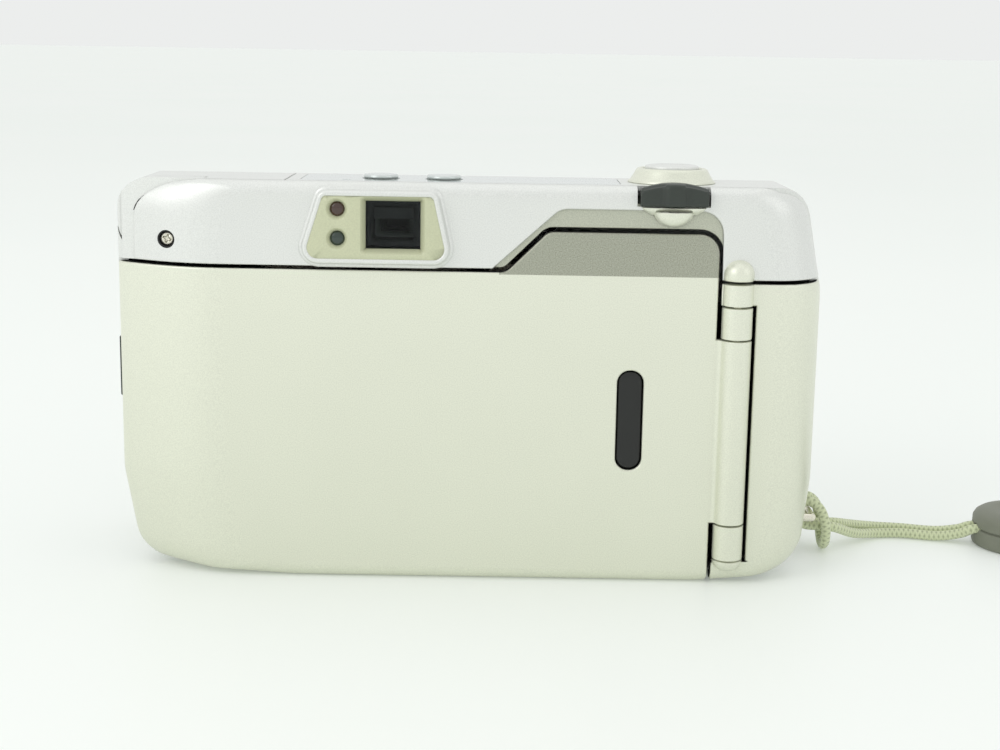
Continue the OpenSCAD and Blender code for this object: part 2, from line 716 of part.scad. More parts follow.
module lens_bezel() color("silver") difference() {
    union() {
        ring_y(0, lens_z, guide_r + 0.3, barrel_r + 0.3, front - 4, front + 0.1);
        translate([0, front + 3, lens_z]) rotate([90, 0, 0]) cylinder(r1 = 21.8, r2 = 24, h = 2.95);
    }
    rod_y(0, lens_z, barrel_r + 0.3, front - 5, front + 5);
}

module barrel(i, y1) {
    r = barrel_r - barrel_step * i;
    ring_y(0, lens_z, r, r - barrel_wall, barrel_rear + 0.5 * i, y1);
}

module lens_barrel_1() color("dimgray") barrel(0, front + 6);
module lens_barrel_2() color("dimgray") barrel(1, front + 7.5);

module lens_barrel_3() color("silver") {
    r = barrel_r - 2 * barrel_step;
    barrel(2, front + 9);
    ring_y(0, lens_z, r - 0.5, aperture_r, front + 8, front + 9);
    rod_y(barrier_pivot, lens_z, 0.7, front + 6.7, front + 8 + EPS);
}

module shutter_unit() color("black")
    ring_y(0, lens_z, barrel_r - 2 * barrel_step - barrel_wall - 0.05, 5, front - 6, front + 3);

module front_lens() color("lightcyan") intersection() {
    rod_y(0, lens_z, 8.2, front + 3.05, front + 6.5);
    translate([0, front - 13.5, lens_z]) rotate([90, 0, 0]) sphere(r = 20, $fn = 128);
}

// Half of the barrier, above the lens axis for sign 1. Both halves turn about one pin beside the lens,
// where each has half the thickness, so that their bosses lie one in front of the other.
module barrier_half(sign) {
    y = [front + 6.9, front + 7.5];
    split = (y[0] + y[1]) / 2 + sign * 0.02;
    own = sign > 0 ? [split, y[1]] : [y[0], split];
    other = sign > 0 ? [y[0] - EPS, split] : [split, y[1] + EPS];
    difference() {
        union() {
            difference() {
                union() {
                    rod_y(0, lens_z, aperture_r + 0.7, y[0], y[1]);
                    block([0, barrier_pivot], y, [lens_z - 2, lens_z + 2]);
                }
                translate([0, 0, lens_z + sign * 0.1])
                    block([-20, 20], [front, front + 9], [min(-20 * sign, 0), max(-20 * sign, 0)]);
                rod_y(barrier_pivot, lens_z, 2.15, other[0], other[1]);
            }
            rod_y(barrier_pivot, lens_z, 2, own[0], own[1]);
        }
        rod_y(barrier_pivot, lens_z, 0.7 + running, front, front + 9);
    }
}

module barrier_upper() color("dimgray") barrier_half(1);
module barrier_lower() color("dimgray") barrier_half(-1);

// ---- Flash ----------------------------------------------------------------------------

module flash_head() color("gainsboro") difference() {
    intersection() {
        envelope(0);
        flash_zone(0);
    }
    intersection() {
        envelope(1.3);
        flash_zone(-1.2);
        block([flash_x, right], [seam_y + 1.5, front], [0, top]);
    }
    flash_opening(0);
}

module flash_opening(grow) across(front - 3, front + 1)
    polygon(rounded(inset(box_outline([flash_x + 1, flash_x + 19.5], [top - 11.2, top - 4.8], 1.2), -grow)));

module flash_window() color("white") intersection() {
    flash_opening(-0.1);
    block([left, right], [front - 1.6, front - 0.2], [0, top]);
}

module flash_reflector() color("silver") difference() {
    block([flash_x + 1.4, flash_x + 19.1], [front - 9, front - 1.8], [top - 10.9, top - 5.2]);
    block([flash_x + 1.8, flash_x + 18.7], [front - 8.4, front - 1], [top - 10.5, top - 5.6]);
}

module flash_tube() color("white") translate([flash_x + 1.85, front - 7, top - 8.05]) rotate([0, 90, 0])
    cylinder(r = 1.1, h = 16.8);

// ---- Strap ----------------------------------------------------------------------------

function cubic(a, b, c, d, t) =
    0.5 * (2 * b + (c - a) * t + (2 * a - 5 * b + 4 * c - d) * t * t + (3 * b - a - 3 * c + d) * t * t * t);
function at(p, i) = p[max(0, min(len(p) - 1, i))];
// The route's points with one smooth point between each two.
function smooth(p) = [
    for (i = [0 : len(p) - 2]) each [p[i], cubic(at(p, i - 1), p[i], p[i + 1], at(p, i + 2), 0.5)],
    p[len(p) - 1]];

// A tube of round section swept along a route; the section's turn is carried from ring to ring.
function carried(p, i) = i == 0
    ? unit(cross(p[1] - p[0], abs(p[1][2] - p[0][2]) > norm(flat(p[1] - p[0])) ? [0, 1, 0] : [0, 0, 1]))
    : let (d = unit(at(p, i + 1) - at(p, i - 1)), n = carried(p, i - 1)) unit(n - d * (n * d));

module tube(route, d) {
    p = smooth(route);
    n = len(p);
    rings = [
        for (i = [0 : n - 1])
            let (dir = unit(at(p, i + 1) - at(p, i - 1)), u = carried(p, i), v = cross(dir, u))
            for (k = [0 : TUBE_SIDES - 1])
                p[i] + d / 2 * (cos(k * 360 / TUBE_SIDES) * u + sin(k * 360 / TUBE_SIDES) * v)];
    polyhedron(rings, concat(
        [[for (k = [0 : TUBE_SIDES - 1]) k]],
        [for (i = [0 : n - 2], k = [0 : TUBE_SIDES - 1])
            [i * TUBE_SIDES + k, (i + 1) * TUBE_SIDES + k, (i + 1) * TUBE_SIDES + (k + 1) % TUBE_SIDES,
                i * TUBE_SIDES + (k + 1) % TUBE_SIDES]],
        [[for (k = [TUBE_SIDES - 1 : -1 : 0]) (n - 1) * TUBE_SIDES + k]]), convexity = 10);
}

module strap_cord() color("tan") {
    tube(hitch_and_front_strand, cord_d);
    tube(back_strand, cord_d);
    for (route = after_slider) tube(route, cord_d);
}

module strap_slider() color("gray") translate([slider_x, slider_y, 0]) difference() {
    union() {
        cylinder(r = slider_r, h = 5);
        translate([0, 0, 5]) cylinder(r1 = slider_r, r2 = slider_r - 1.6, h = 1.6);
    }
    for (y = [-1.1, 1.1]) translate([-20, y, 3.2]) rotate([0, 90, 0]) cylinder(r = cord_d / 2 + 0.15, h = 40);
}

module strap_hank() color("tan") linear_extrude(hank_h) difference() {
    polygon(rounded(box_outline([hank_x[0] - hank_r - 1, hank_x[1] + hank_r + 1],
        [slider_y - hank_r - 1, slider_y + hank_r + 1], hank_r + 0.9)));
    polygon(rounded(box_outline([hank_x[0] - hank_r + 1, hank_x[1] + hank_r - 1],
        [slider_y - hank_r + 1, slider_y + hank_r - 1], hank_r - 1.1)));
}

front_cover();
rear_cover();
right_cover();
chassis();
finder_bezel();
eyepiece();
focus_lamp();
flash_lamp();
finder_tube();
finder_objective();
finder_zoom_lens();
front_window();
timer_lamp();
top_panel();
shutter_ring();
shutter_button();
zoom_rocker();
mode_button();
timer_button();
tripod_bush();
cover_screws();
hinge_bracket();
hinge_pin();
rear_door();
film_window();
plate_spring();
pressure_plate();
door_latch();
dx_contacts();
light_seals();
main_board();
flash_capacitor();
zoom_motor();
spool_motor();
take_up_spool();
idler_gear_a();
idler_gear_b();
idler_gear_c();
rewind_fork();
battery();
battery_holder();
battery_door();
lens_guide();
lens_bezel();
lens_barrel_1();
lens_barrel_2();
lens_barrel_3();
shutter_unit();
front_lens();
barrier_upper();
barrier_lower();
flash_head();
flash_window();
flash_reflector();
flash_tube();
strap_lug();
strap_cord();
strap_slider();
strap_hank();
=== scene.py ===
"""Looks of a compact zoom film camera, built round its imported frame.

Lengths are in millimetres until a mesh is made, and every finished object sits at the origin in metres.
"""

import json
import logging
import math
from dataclasses import dataclass
from enum import Enum
from typing import Iterable, Sequence

import bmesh
import bpy
import numpy as np
from mathutils import Matrix, Vector

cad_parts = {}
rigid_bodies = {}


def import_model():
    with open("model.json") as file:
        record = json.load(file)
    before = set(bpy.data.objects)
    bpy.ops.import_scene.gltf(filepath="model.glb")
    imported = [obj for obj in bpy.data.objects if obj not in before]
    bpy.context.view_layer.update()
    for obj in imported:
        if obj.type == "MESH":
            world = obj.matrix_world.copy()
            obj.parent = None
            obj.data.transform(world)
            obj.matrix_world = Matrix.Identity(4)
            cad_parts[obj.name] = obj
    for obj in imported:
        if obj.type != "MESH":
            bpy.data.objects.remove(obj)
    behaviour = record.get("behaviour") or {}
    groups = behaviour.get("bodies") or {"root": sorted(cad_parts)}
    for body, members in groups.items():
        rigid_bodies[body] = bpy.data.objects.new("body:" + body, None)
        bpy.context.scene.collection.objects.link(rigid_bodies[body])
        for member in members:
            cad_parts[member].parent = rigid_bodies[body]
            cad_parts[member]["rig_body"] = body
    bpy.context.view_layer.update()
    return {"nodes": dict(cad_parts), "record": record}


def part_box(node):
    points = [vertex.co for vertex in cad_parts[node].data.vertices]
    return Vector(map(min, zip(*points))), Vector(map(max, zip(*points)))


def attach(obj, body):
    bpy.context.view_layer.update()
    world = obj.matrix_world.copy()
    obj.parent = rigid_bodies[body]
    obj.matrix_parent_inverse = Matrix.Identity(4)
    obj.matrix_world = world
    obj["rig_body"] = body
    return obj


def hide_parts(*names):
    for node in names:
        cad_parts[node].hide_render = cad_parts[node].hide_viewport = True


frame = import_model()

MM = 0.001
WELD = 1e-5
LOG = logging.getLogger("camera")

Point = tuple[float, float]
Corner = tuple[float, float, float]
Point3 = tuple[float, float, float]
Colour = tuple[float, float, float]


class Axis(Enum):
    """The axis that a turned piece is turned about."""

    UP = "z"
    LENS = "y"


# ---- Outlines -------------------------------------------------------------------------------------


def inset(points: Sequence[Corner], by: float | Sequence[float]) -> list[Corner]:
    """Moves each edge of an anticlockwise outline inwards.

    Args:
        points: corners as (x, y, corner radius).
        by: one distance, or one for each edge, where edge i runs from corner i to the next.

    Returns:
        The new corners, with radii that keep the stretches concentric.
    """
    n = len(points)
    move = [by] * n if isinstance(by, (int, float)) else list(by)
    flat = [Vector(p[:2]) for p in points]
    lines = []
    for i in range(n):
        along = (flat[(i + 1) % n] - flat[i]).normalized()
        inward = Vector((-along.y, along.x))
        lines.append((flat[i] + inward * move[i], along))
    result = []
    for i in range(n):
        (a, u), (b, v) = lines[i - 1], lines[i]
        cross = u.x * v.y - u.y * v.x
        if abs(cross) < 1e-6:
            meet = b
        else:
            t = ((b.x - a.x) * v.y - (b.y - a.y) * v.x) / cross
            meet = a + u * t
        turn = 1 if cross > 0 else -1
        shift = min(move[i - 1], move[i])
        result.append((meet.x, meet.y, max(points[i][2] - turn * shift, 0.12)))
    return result


def rounded(points: Sequence[Corner], steps: int = 10) -> list[Point]:
    """Turns corners with radii into a smooth outline with the same number of points at every size."""
    n = len(points)
    flat = [Vector(p[:2]) for p in points]
    spans = [(flat[(i + 1) % n] - flat[i]).length for i in range(n)]
    result: list[Point] = []
    for i in range(n):
        u = (flat[i - 1] - flat[i]).normalized()
        v = (flat[(i + 1) % n] - flat[i]).normalized()
        half = max(math.acos(max(-1.0, min(1.0, u.dot(v)))) / 2, 1e-3)
        reach = min(points[i][2] / math.tan(half), 0.48 * spans[i - 1], 0.48 * spans[i])
        radius = reach * math.tan(half)
        start, end = flat[i] + u * reach, flat[i] + v * reach
        if (u + v).length < 1e-5:
            result += [tuple(start.lerp(end, k / steps)) for k in range(steps + 1)]
            continue
        middle = flat[i] + (u + v).normalized() * (radius / math.sin(half))
        a0 = math.atan2(start.y - middle.y, start.x - middle.x)
        a1 = math.atan2(end.y - middle.y, end.x - middle.x)
        sweep = (a1 - a0 + math.pi) % (2 * math.pi) - math.pi
        for k in range(steps + 1):
            a = a0 + sweep * k / steps
            result.append((middle.x + radius * math.cos(a), middle.y + radius * math.sin(a)))
    return result


def stretch(points: Sequence[Corner], first: int, last: int, steps: int = 8) -> list[Point]:
    """The rounded outline from corner number first to corner number last, both with their arcs."""
    whole = rounded(points, steps)
    return whole[first * (steps + 1) : (last + 1) * (steps + 1)]


def rectangle(x: Point, z: Point, radius: float) -> list[Corner]:
    """An upright rectangle with equal corners."""
    return [(x[0], z[0], radius), (x[1], z[0], radius), (x[1], z[1], radius), (x[0], z[1], radius)]


def circle(x: float, z: float, radius: float, count: int = 32) -> list[Point]:
    """A round outline, anticlockwise."""
    turns = (2 * math.pi * k / count for k in range(count))
    return [(x + radius * math.cos(a), z + radius * math.sin(a)) for a in turns]


def spans_at(outline: Sequence[Point], level: float) -> Point:
    """The lowest and highest first coordinate at which an outline crosses a level of its second."""
    hits = []
    for (ax, ay), (bx, by) in zip(outline, list(outline[1:]) + [outline[0]]):
        if (ay - level) * (by - level) <= 0 and abs(ay - by) > 1e-9:
            hits.append(ax + (bx - ax) * (level - ay) / (by - ay))
    return min(hits), max(hits)


# ---- Meshes ---------------------------------------------------------------------------------------


def linked(name: str, mesh: bmesh.types.BMesh) -> bpy.types.Object:
    """Makes an object of a mesh, frees the mesh and puts the object in the scene."""
    data = bpy.data.meshes.new(name)
    mesh.to_mesh(data)
    mesh.free()
    piece = bpy.data.objects.new(name, data)
    bpy.context.scene.collection.objects.link(piece)
    return piece


def finished(
    name: str,
    mesh: bmesh.types.BMesh,
    body: str,
    materials: Sequence[bpy.types.Material],
    *,
    bevel: float = 0.0,
    weighted: bool = True,
) -> bpy.types.Object:
    """Makes an object of a mesh in millimetres, in metres and in place, and rides it on a body.

    Args:
        name: the piece's name.
        mesh: the shape, which is freed.
        body: the CAD body that it moves with.
        materials: its materials, in the order of the faces' indices.
        bevel: width of a bevel on sharp edges, in millimetres.
        weighted: whether big flat faces keep their own normals.

    Returns:
        The object.
    """
    bmesh.ops.scale(mesh, vec=(MM, MM, MM), verts=mesh.verts)
    piece = linked(name, mesh)
    for material in materials:
        piece.data.materials.append(material)
    piece.data.polygons.foreach_set("use_smooth", [True] * len(piece.data.polygons))
    if bevel:
        modifier = piece.modifiers.new("edges", "BEVEL")
        modifier.width = bevel * MM
        modifier.segments = 3
        modifier.limit_method = "ANGLE"
        modifier.angle_limit = math.radians(35)
        modifier.harden_normals = False
    if weighted:
        modifier = piece.modifiers.new("normals", "WEIGHTED_NORMAL")
        modifier.keep_sharp = True
        modifier.weight = 60
    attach(piece, body)
    LOG.info("%s on %s", name, body)
    return piece


def baked(piece: bpy.types.Object) -> bpy.types.Object:
    """Turns an object's modifiers into its mesh."""
    graph = bpy.context.evaluated_depsgraph_get()
    piece.data = bpy.data.meshes.new_from_object(piece.evaluated_get(graph))
    piece.modifiers.clear()
    return piece


def rows(
    outlines: Sequence[Sequence[Point3]], *, capped: bool = False, closed: bool = True
) -> bmesh.types.BMesh:
    """A skin through rings that have the same number of points.

    Args:
        outlines: the rings, in order.
        capped: whether the first and last rings are filled.
        closed: whether each ring closes on itself.

    Returns:
        The mesh, with its faces turned outwards.
    """
    mesh = bmesh.new()
    rings = [[mesh.verts.new(p) for p in ring] for ring in outlines]
    n = len(rings[0])
    for a, b in zip(rings, rings[1:]):
        for i in range(n if closed else n - 1):
            j = (i + 1) % n
            quad = [a[i], a[j], b[j], b[i]]
            if (quad[0].co - quad[3].co).length > 1e-7 or (quad[1].co - quad[2].co).length > 1e-7:
                mesh.faces.new(quad)
    if capped:
        mesh.faces.new(rings[0])
        mesh.faces.new(rings[-1])
    bmesh.ops.remove_doubles(mesh, verts=mesh.verts, dist=WELD)
    bmesh.ops.recalc_face_normals(mesh, faces=mesh.faces)
    return mesh


def rim_rows(corners: Sequence[Corner], profile: Iterable[Point], steps: int = 8) -> list[list[Point3]]:
    """Rings of an outline in the plane of the back: profile gives (inset, y) for each ring."""
    result = []
    for by, y in profile:
        result.append([(x, y, z) for x, z in rounded(inset(corners, by), steps)])
    return result


def turned(profile: Sequence[Point], centre: Point3, axis: Axis, count: int = 56) -> bmesh.types.BMesh:
    """A piece turned about an axis.

    Args:
        profile: (radius, height) pairs that start and end on the axis or close on themselves.
        centre: a point on the axis, at height 0.
        axis: the axis that it is turned about.
        count: how many sides it has.

    Returns:
        The mesh.
    """
    rings = []
    for radius, height in profile:
        ring = []
        for k in range(count):
            a = 2 * math.pi * k / count
            u, v = radius * math.cos(a), radius * math.sin(a)
            offset = (u, v, height) if axis is Axis.UP else (u, height, v)
            ring.append(tuple(c + o for c, o in zip(centre, offset)))
        rings.append(ring)
    return rows(rings)


def soft_profile(radius: float, low: float, high: float, edge: float = 0.2) -> list[Point]:
    """The profile of a round bar with softened ends."""
    arc = [math.radians(a) for a in (0, 30, 60, 90)]
    start = [(radius - edge + edge * math.sin(a), low + edge - edge * math.cos(a)) for a in arc]
    end = [(radius - edge + edge * math.cos(a), high - edge + edge * math.sin(a)) for a in arc]
    return [(0, low), *start, *end, (0, high)]


def bar_profile(radius: float, start: float, end: float) -> list[Point]:
    """The profile of a plain round bar."""
    return [(0, start), (radius, start), (radius, end), (0, end)]


def joined(*parts: bmesh.types.BMesh) -> bmesh.types.BMesh:
    """Puts several meshes together as one, and frees them."""
    whole = bmesh.new()
    for part in parts:
        copy = bpy.data.meshes.new("part")
        part.to_mesh(copy)
        whole.from_mesh(copy)
        bpy.data.meshes.remove(copy)
        part.free()
    return whole


def clip(mesh: bmesh.types.BMesh, point: Point3, normal: Point3, *, clear: bool = True) -> None:
    """Cuts a mesh's faces along a plane.

    Args:
        mesh: the mesh.
        point: a point on the plane.
        normal: the way that the plane faces.
        clear: whether what lies on the side that it faces is removed.
    """
    bmesh.ops.bisect_plane(
        mesh,
        geom=[*mesh.verts, *mesh.edges, *mesh.faces],
        dist=WELD,
        plane_co=point,
        plane_no=normal,
        clear_outer=clear,
    )


def carve(piece: bpy.types.Object, *cutters: bmesh.types.BMesh) -> bpy.types.Object:
    """Cuts closed meshes in millimetres out of an object."""
    for shape in cutters:
        bmesh.ops.scale(shape, vec=(MM, MM, MM), verts=shape.verts)
        tool = linked("cutter", shape)
        modifier = piece.modifiers.new("cut", "BOOLEAN")
        modifier.operation = "DIFFERENCE"
        modifier.solver = "EXACT"
        modifier.object = tool
        piece.modifiers.move(len(piece.modifiers) - 1, 0)
        held = [m for m in piece.modifiers if m.type != "BOOLEAN"]
        for m in held:
            m.show_viewport = False
        graph = bpy.context.evaluated_depsgraph_get()
        piece.data = bpy.data.meshes.new_from_object(piece.evaluated_get(graph))
        piece.modifiers.remove(modifier)
        for m in held:
            m.show_viewport = True
        bpy.data.objects.remove(tool)
    return piece


def box_mesh(x: Point, y: Point, z: Point) -> bmesh.types.BMesh:
    """A closed box between two values on each axis."""
    mesh = bmesh.new()
    middle = [(a[0] + a[1]) / 2 for a in (x, y, z)]
    size = [a[1] - a[0] for a in (x, y, z)]
    matrix = Matrix.Translation(middle) @ Matrix.Diagonal((*size, 1))
    bmesh.ops.create_cube(mesh, size=1, matrix=matrix)
    return mesh


def shelled(mesh: bmesh.types.BMesh, wall: float, lip: float, steps: int = 4) -> bmesh.types.BMesh:
    """Makes an open outer face into a closed shell with a rounded lip along every border.

    Args:
        mesh: the outer face, which stops short of the real edge by the lip's radius.
        wall: thickness of the shell.
        lip: radius of the lip.
        steps: how many strips round the lip.

    Returns:
        The same mesh, closed. The rim and the inner face have material index 1.
    """
    mesh.normal_update()
    outer = list(mesh.faces)
    borders = [e for e in mesh.edges if e.is_boundary]
    out: dict[bmesh.types.BMVert, Vector] = {}
    near: dict[bmesh.types.BMVert, list[Vector]] = {}
    for edge in borders:
        face = edge.link_faces[0]
        a, b = edge.verts
        along = (b.co - a.co).normalized()
        away = along.cross(face.normal)
        if away.dot((a.co + b.co) / 2 - face.calc_center_median()) < 0:
            away.negate()
        for v in (a, b):
            near.setdefault(v, []).append(away)
    for v, ways in near.items():
        total = sum(ways, Vector())
        total.normalize()
        total -= v.normal * total.dot(v.normal)
        total.normalize()
        out[v] = total / max(total.dot(ways[0].normalized()), 0.5)
    inner = {v: mesh.verts.new(v.co - v.normal * wall) for v in list(mesh.verts)}
    normal = {v: v.normal.copy() for v in inner}
    strips: list[dict[bmesh.types.BMVert, bmesh.types.BMVert]] = [{v: v for v in near}]
    for k in range(1, steps + 1):
        a = math.pi / 2 * k / steps
        along, down = lip * math.sin(a), lip * (1 - math.cos(a))
        strips.append({v: mesh.verts.new(v.co + out[v] * along - normal[v] * down) for v in near})
    strips.append({v: mesh.verts.new(v.co + out[v] * lip - normal[v] * wall) for v in near})
    strips.append({v: inner[v] for v in near})
    for edge in borders:
        loop = edge.link_loops[0]
        a, b = loop.vert, loop.link_loop_next.vert
        for k, (row, following) in enumerate(zip(strips, strips[1:])):
            quad = mesh.faces.new([row[b], row[a], following[a], following[b]])
            # the walls along the gaps take material 1, a near-black that paints the shade in the gaps; on
            # the inner face it is the dark inside moulding
            quad.material_index = 0 if k < steps else 1
            if k >= steps:
                for e in quad.edges:
                    e.smooth = False
    for face in outer:
        copy = mesh.faces.new([inner[v] for v in reversed(face.verts)])
        copy.material_index = 1
    return mesh


# ---- Finishes -------------------------------------------------------------------------------------


def tree_of(name: str) -> tuple[bpy.types.Material, bpy.types.NodeTree, bpy.types.Node]:
    """A new material with its node tree and its shader."""
    material = bpy.data.materials.new(name)
    material.use_nodes = True
    tree = material.node_tree
    return material, tree, tree.nodes["Principled BSDF"]


def noise(tree: bpy.types.NodeTree, scale: float, detail: float) -> bpy.types.Node:
    """A noise on object coordinates."""
    place = tree.nodes.new("ShaderNodeTexCoord")
    node = tree.nodes.new("ShaderNodeTexNoise")
    node.inputs["Scale"].default_value = scale
    node.inputs["Detail"].default_value = detail
    tree.links.new(place.outputs["Object"], node.inputs["Vector"])
    return node


def ramp(
    tree: bpy.types.NodeTree,
    value: bpy.types.NodeSocket,
    stops: Sequence[tuple[float, Sequence[float]]],
) -> bpy.types.NodeSocket:
    """A colour ramp over a value.

    Args:
        tree: the node tree.
        value: the socket that is looked up.
        stops: (position, colour) pairs.

    Returns:
        The ramp's colour socket.
    """
    node = tree.nodes.new("ShaderNodeValToRGB")
    tree.links.new(value, node.inputs["Fac"])
    while len(node.color_ramp.elements) < len(stops):
        node.color_ramp.elements.new(0.5)
    for element, (position, colour) in zip(node.color_ramp.elements, stops):
        element.position = position
        element.color = (*colour[:3], 1)
    return node.outputs["Color"]


def bump(
    tree: bpy.types.NodeTree,
    shader: bpy.types.Node,
    height: bpy.types.NodeSocket,
    depth: float,
    strength: float,
) -> None:
    """Gives a shader a bump of a depth in metres."""
    node = tree.nodes.new("ShaderNodeBump")
    node.inputs["Distance"].default_value = depth
    node.inputs["Strength"].default_value = strength
    tree.links.new(height, node.inputs["Height"])
    tree.links.new(node.outputs["Normal"], shader.inputs["Normal"])


def roughen(
    tree: bpy.types.NodeTree,
    shader: bpy.types.Node,
    value: bpy.types.NodeSocket,
    low: float,
    high: float,
) -> None:
    """Spreads a shader's roughness between two values."""
    spread = tree.nodes.new("ShaderNodeMapRange")
    spread.inputs["To Min"].default_value = low
    spread.inputs["To Max"].default_value = high
    tree.links.new(value, spread.inputs["Value"])
    tree.links.new(spread.outputs["Result"], shader.inputs["Roughness"])


def shade(colour: Sequence[float], factor: float) -> Colour:
    """A colour made lighter or darker."""
    return tuple(min(c * factor, 1.0) for c in colour[:3])


@dataclass(frozen=True)
class Lacquer:
    """A sprayed metallic lacquer: fine flakes under a satin clear coat, with painted shade towards the
    base.

    Attributes:
        name: the material's name.
        colour: linear base colour.
        low: linear colour towards the base of the camera, a painted shade that darkens the bottom.
        flake: contrast of the flakes.
        roughness: roughness of the lacquer.
        metallic: how metallic it looks.
    """

    name: str
    colour: Colour
    low: Colour
    flake: float = 0.06
    roughness: float = 0.38
    metallic: float = 0.45

    def make(self) -> bpy.types.Material:
        """Builds the material."""
        material, tree, shader = tree_of(self.name)
        grain = noise(tree, 5200.0, 1.0)
        cloud = noise(tree, 34.0, 3.0)
        place = tree.nodes.new("ShaderNodeTexCoord")
        split = tree.nodes.new("ShaderNodeSeparateXYZ")
        tree.links.new(place.outputs["Object"], split.inputs[0])
        # painted shade: the base colour darkens from the top down to the camera's base
        rise = tree.nodes.new("ShaderNodeMapRange")
        rise.inputs["From Min"].default_value = -0.004
        rise.inputs["From Max"].default_value = 0.05
        tree.links.new(split.outputs["Z"], rise.inputs["Value"])
        base = ramp(tree, rise.outputs["Result"], [(0.0, self.low), (1.0, self.colour)])
        stops = [(0.3, (1 - self.flake,) * 3), (0.5, (1,) * 3), (0.72, (1 + self.flake,) * 3)]
        flakes = ramp(tree, grain.outputs["Fac"], stops)
        drift = ramp(tree, cloud.outputs["Fac"], [(0.3, (0.975,) * 3), (0.7, (1.0,) * 3)])
        mixed = base
        for factor in (flakes, drift):
            mix = tree.nodes.new("ShaderNodeMix")
            mix.data_type = "RGBA"
            mix.blend_type = "MULTIPLY"
            mix.inputs["Factor"].default_value = 1.0
            tree.links.new(mixed, mix.inputs[6])
            tree.links.new(factor, mix.inputs[7])
            mixed = mix.outputs[2]
        tree.links.new(mixed, shader.inputs["Base Color"])
        shader.inputs["Metallic"].default_value = self.metallic
        shader.inputs["Roughness"].default_value = self.roughness
        shader.inputs["Coat Weight"].default_value = 0.25
        shader.inputs["Coat Roughness"].default_value = 0.22
        bump(tree, shader, grain.outputs["Fac"], 0.00001, 0.35)
        return material


@dataclass(frozen=True)
class Moulded:
    """A moulded plastic or rubber with a fine grain.

    Attributes:
        name: the material's name.
        colour: linear base colour.
        roughness: mean roughness.
        grain: size of the grain, as a noise scale.
        depth: depth of the grain in metres.
        coat: weight of a clear coat.
    """

    name: str
    colour: Colour
    roughness: float = 0.5
    grain: float = 2600.0
    depth: float = 0.00003
    coat: float = 0.0

    def make(self) -> bpy.types.Material:
        """Builds the material."""
        material, tree, shader = tree_of(self.name)
        grain = noise(tree, self.grain, 2.0)
        cloud = noise(tree, 90.0, 2.0)
        stops = [(0.3, shade(self.colour, 0.88)), (0.75, shade(self.colour, 1.1))]
        colour = ramp(tree, cloud.outputs["Fac"], stops)
        tree.links.new(colour, shader.inputs["Base Color"])
        low, high = max(self.roughness - 0.07, 0.02), self.roughness + 0.07
        roughen(tree, shader, cloud.outputs["Fac"], low, high)
        shader.inputs["Coat Weight"].default_value = self.coat
        bump(tree, shader, grain.outputs["Fac"], self.depth, 0.6)
        return material


@dataclass(frozen=True)
class Metal:
    """A bare or plated metal with fine turning or rolling marks.

    Attributes:
        name: the material's name.
        colour: linear base colour.
        roughness: mean roughness.
        marks: scale of the marks, a quarter of the noise's.
    """

    name: str
    colour: Colour
    roughness: float = 0.25
    marks: float = 900.0

    def make(self) -> bpy.types.Material:
        """Builds the material."""
        material, tree, shader = tree_of(self.name)
        place = tree.nodes.new("ShaderNodeTexCoord")
        mapping = tree.nodes.new("ShaderNodeMapping")
        mapping.inputs["Scale"].default_value = (0.6, 1.0, 0.6)
        tree.links.new(place.outputs["Object"], mapping.inputs["Vector"])
        marks = tree.nodes.new("ShaderNodeTexNoise")
        marks.inputs["Scale"].default_value = self.marks * 4
        tree.links.new(mapping.outputs["Vector"], marks.inputs["Vector"])
        stops = [(0.3, shade(self.colour, 0.94)), (0.7, shade(self.colour, 1.04))]
        colour = ramp(tree, marks.outputs["Fac"], stops)
        tree.links.new(colour, shader.inputs["Base Color"])
        low, high = max(self.roughness - 0.08, 0.03), self.roughness + 0.1
        roughen(tree, shader, marks.outputs["Fac"], low, high)
        shader.inputs["Metallic"].default_value = 1.0
        bump(tree, shader, marks.outputs["Fac"], 0.000008, 0.4)
        return material


@dataclass(frozen=True)
class Glass:
    """A clear or smoked glass or acrylic, with a faint film of dust.

    Attributes:
        name: the material's name.
        colour: linear tint.
        transmission: how much light goes through.
        roughness: roughness of the polish.
        shine: strength of its reflections.
        bend: index of refraction, set low so that a pane mirrors little, as a coated one does.
    """

    name: str
    colour: Colour
    transmission: float = 0.9
    roughness: float = 0.04
    shine: float = 0.12
    bend: float = 1.2

    def make(self) -> bpy.types.Material:
        """Builds the material."""
        material, tree, shader = tree_of(self.name)
        dust = noise(tree, 700.0, 4.0)
        colour = ramp(tree, dust.outputs["Fac"], [(0.35, self.colour), (0.85, shade(self.colour, 1.25))])
        tree.links.new(colour, shader.inputs["Base Color"])
        roughen(tree, shader, dust.outputs["Fac"], self.roughness, self.roughness + 0.09)
        shader.inputs["Transmission Weight"].default_value = self.transmission
        shader.inputs["IOR"].default_value = self.bend
        shader.inputs["Specular IOR Level"].default_value = self.shine
        return material


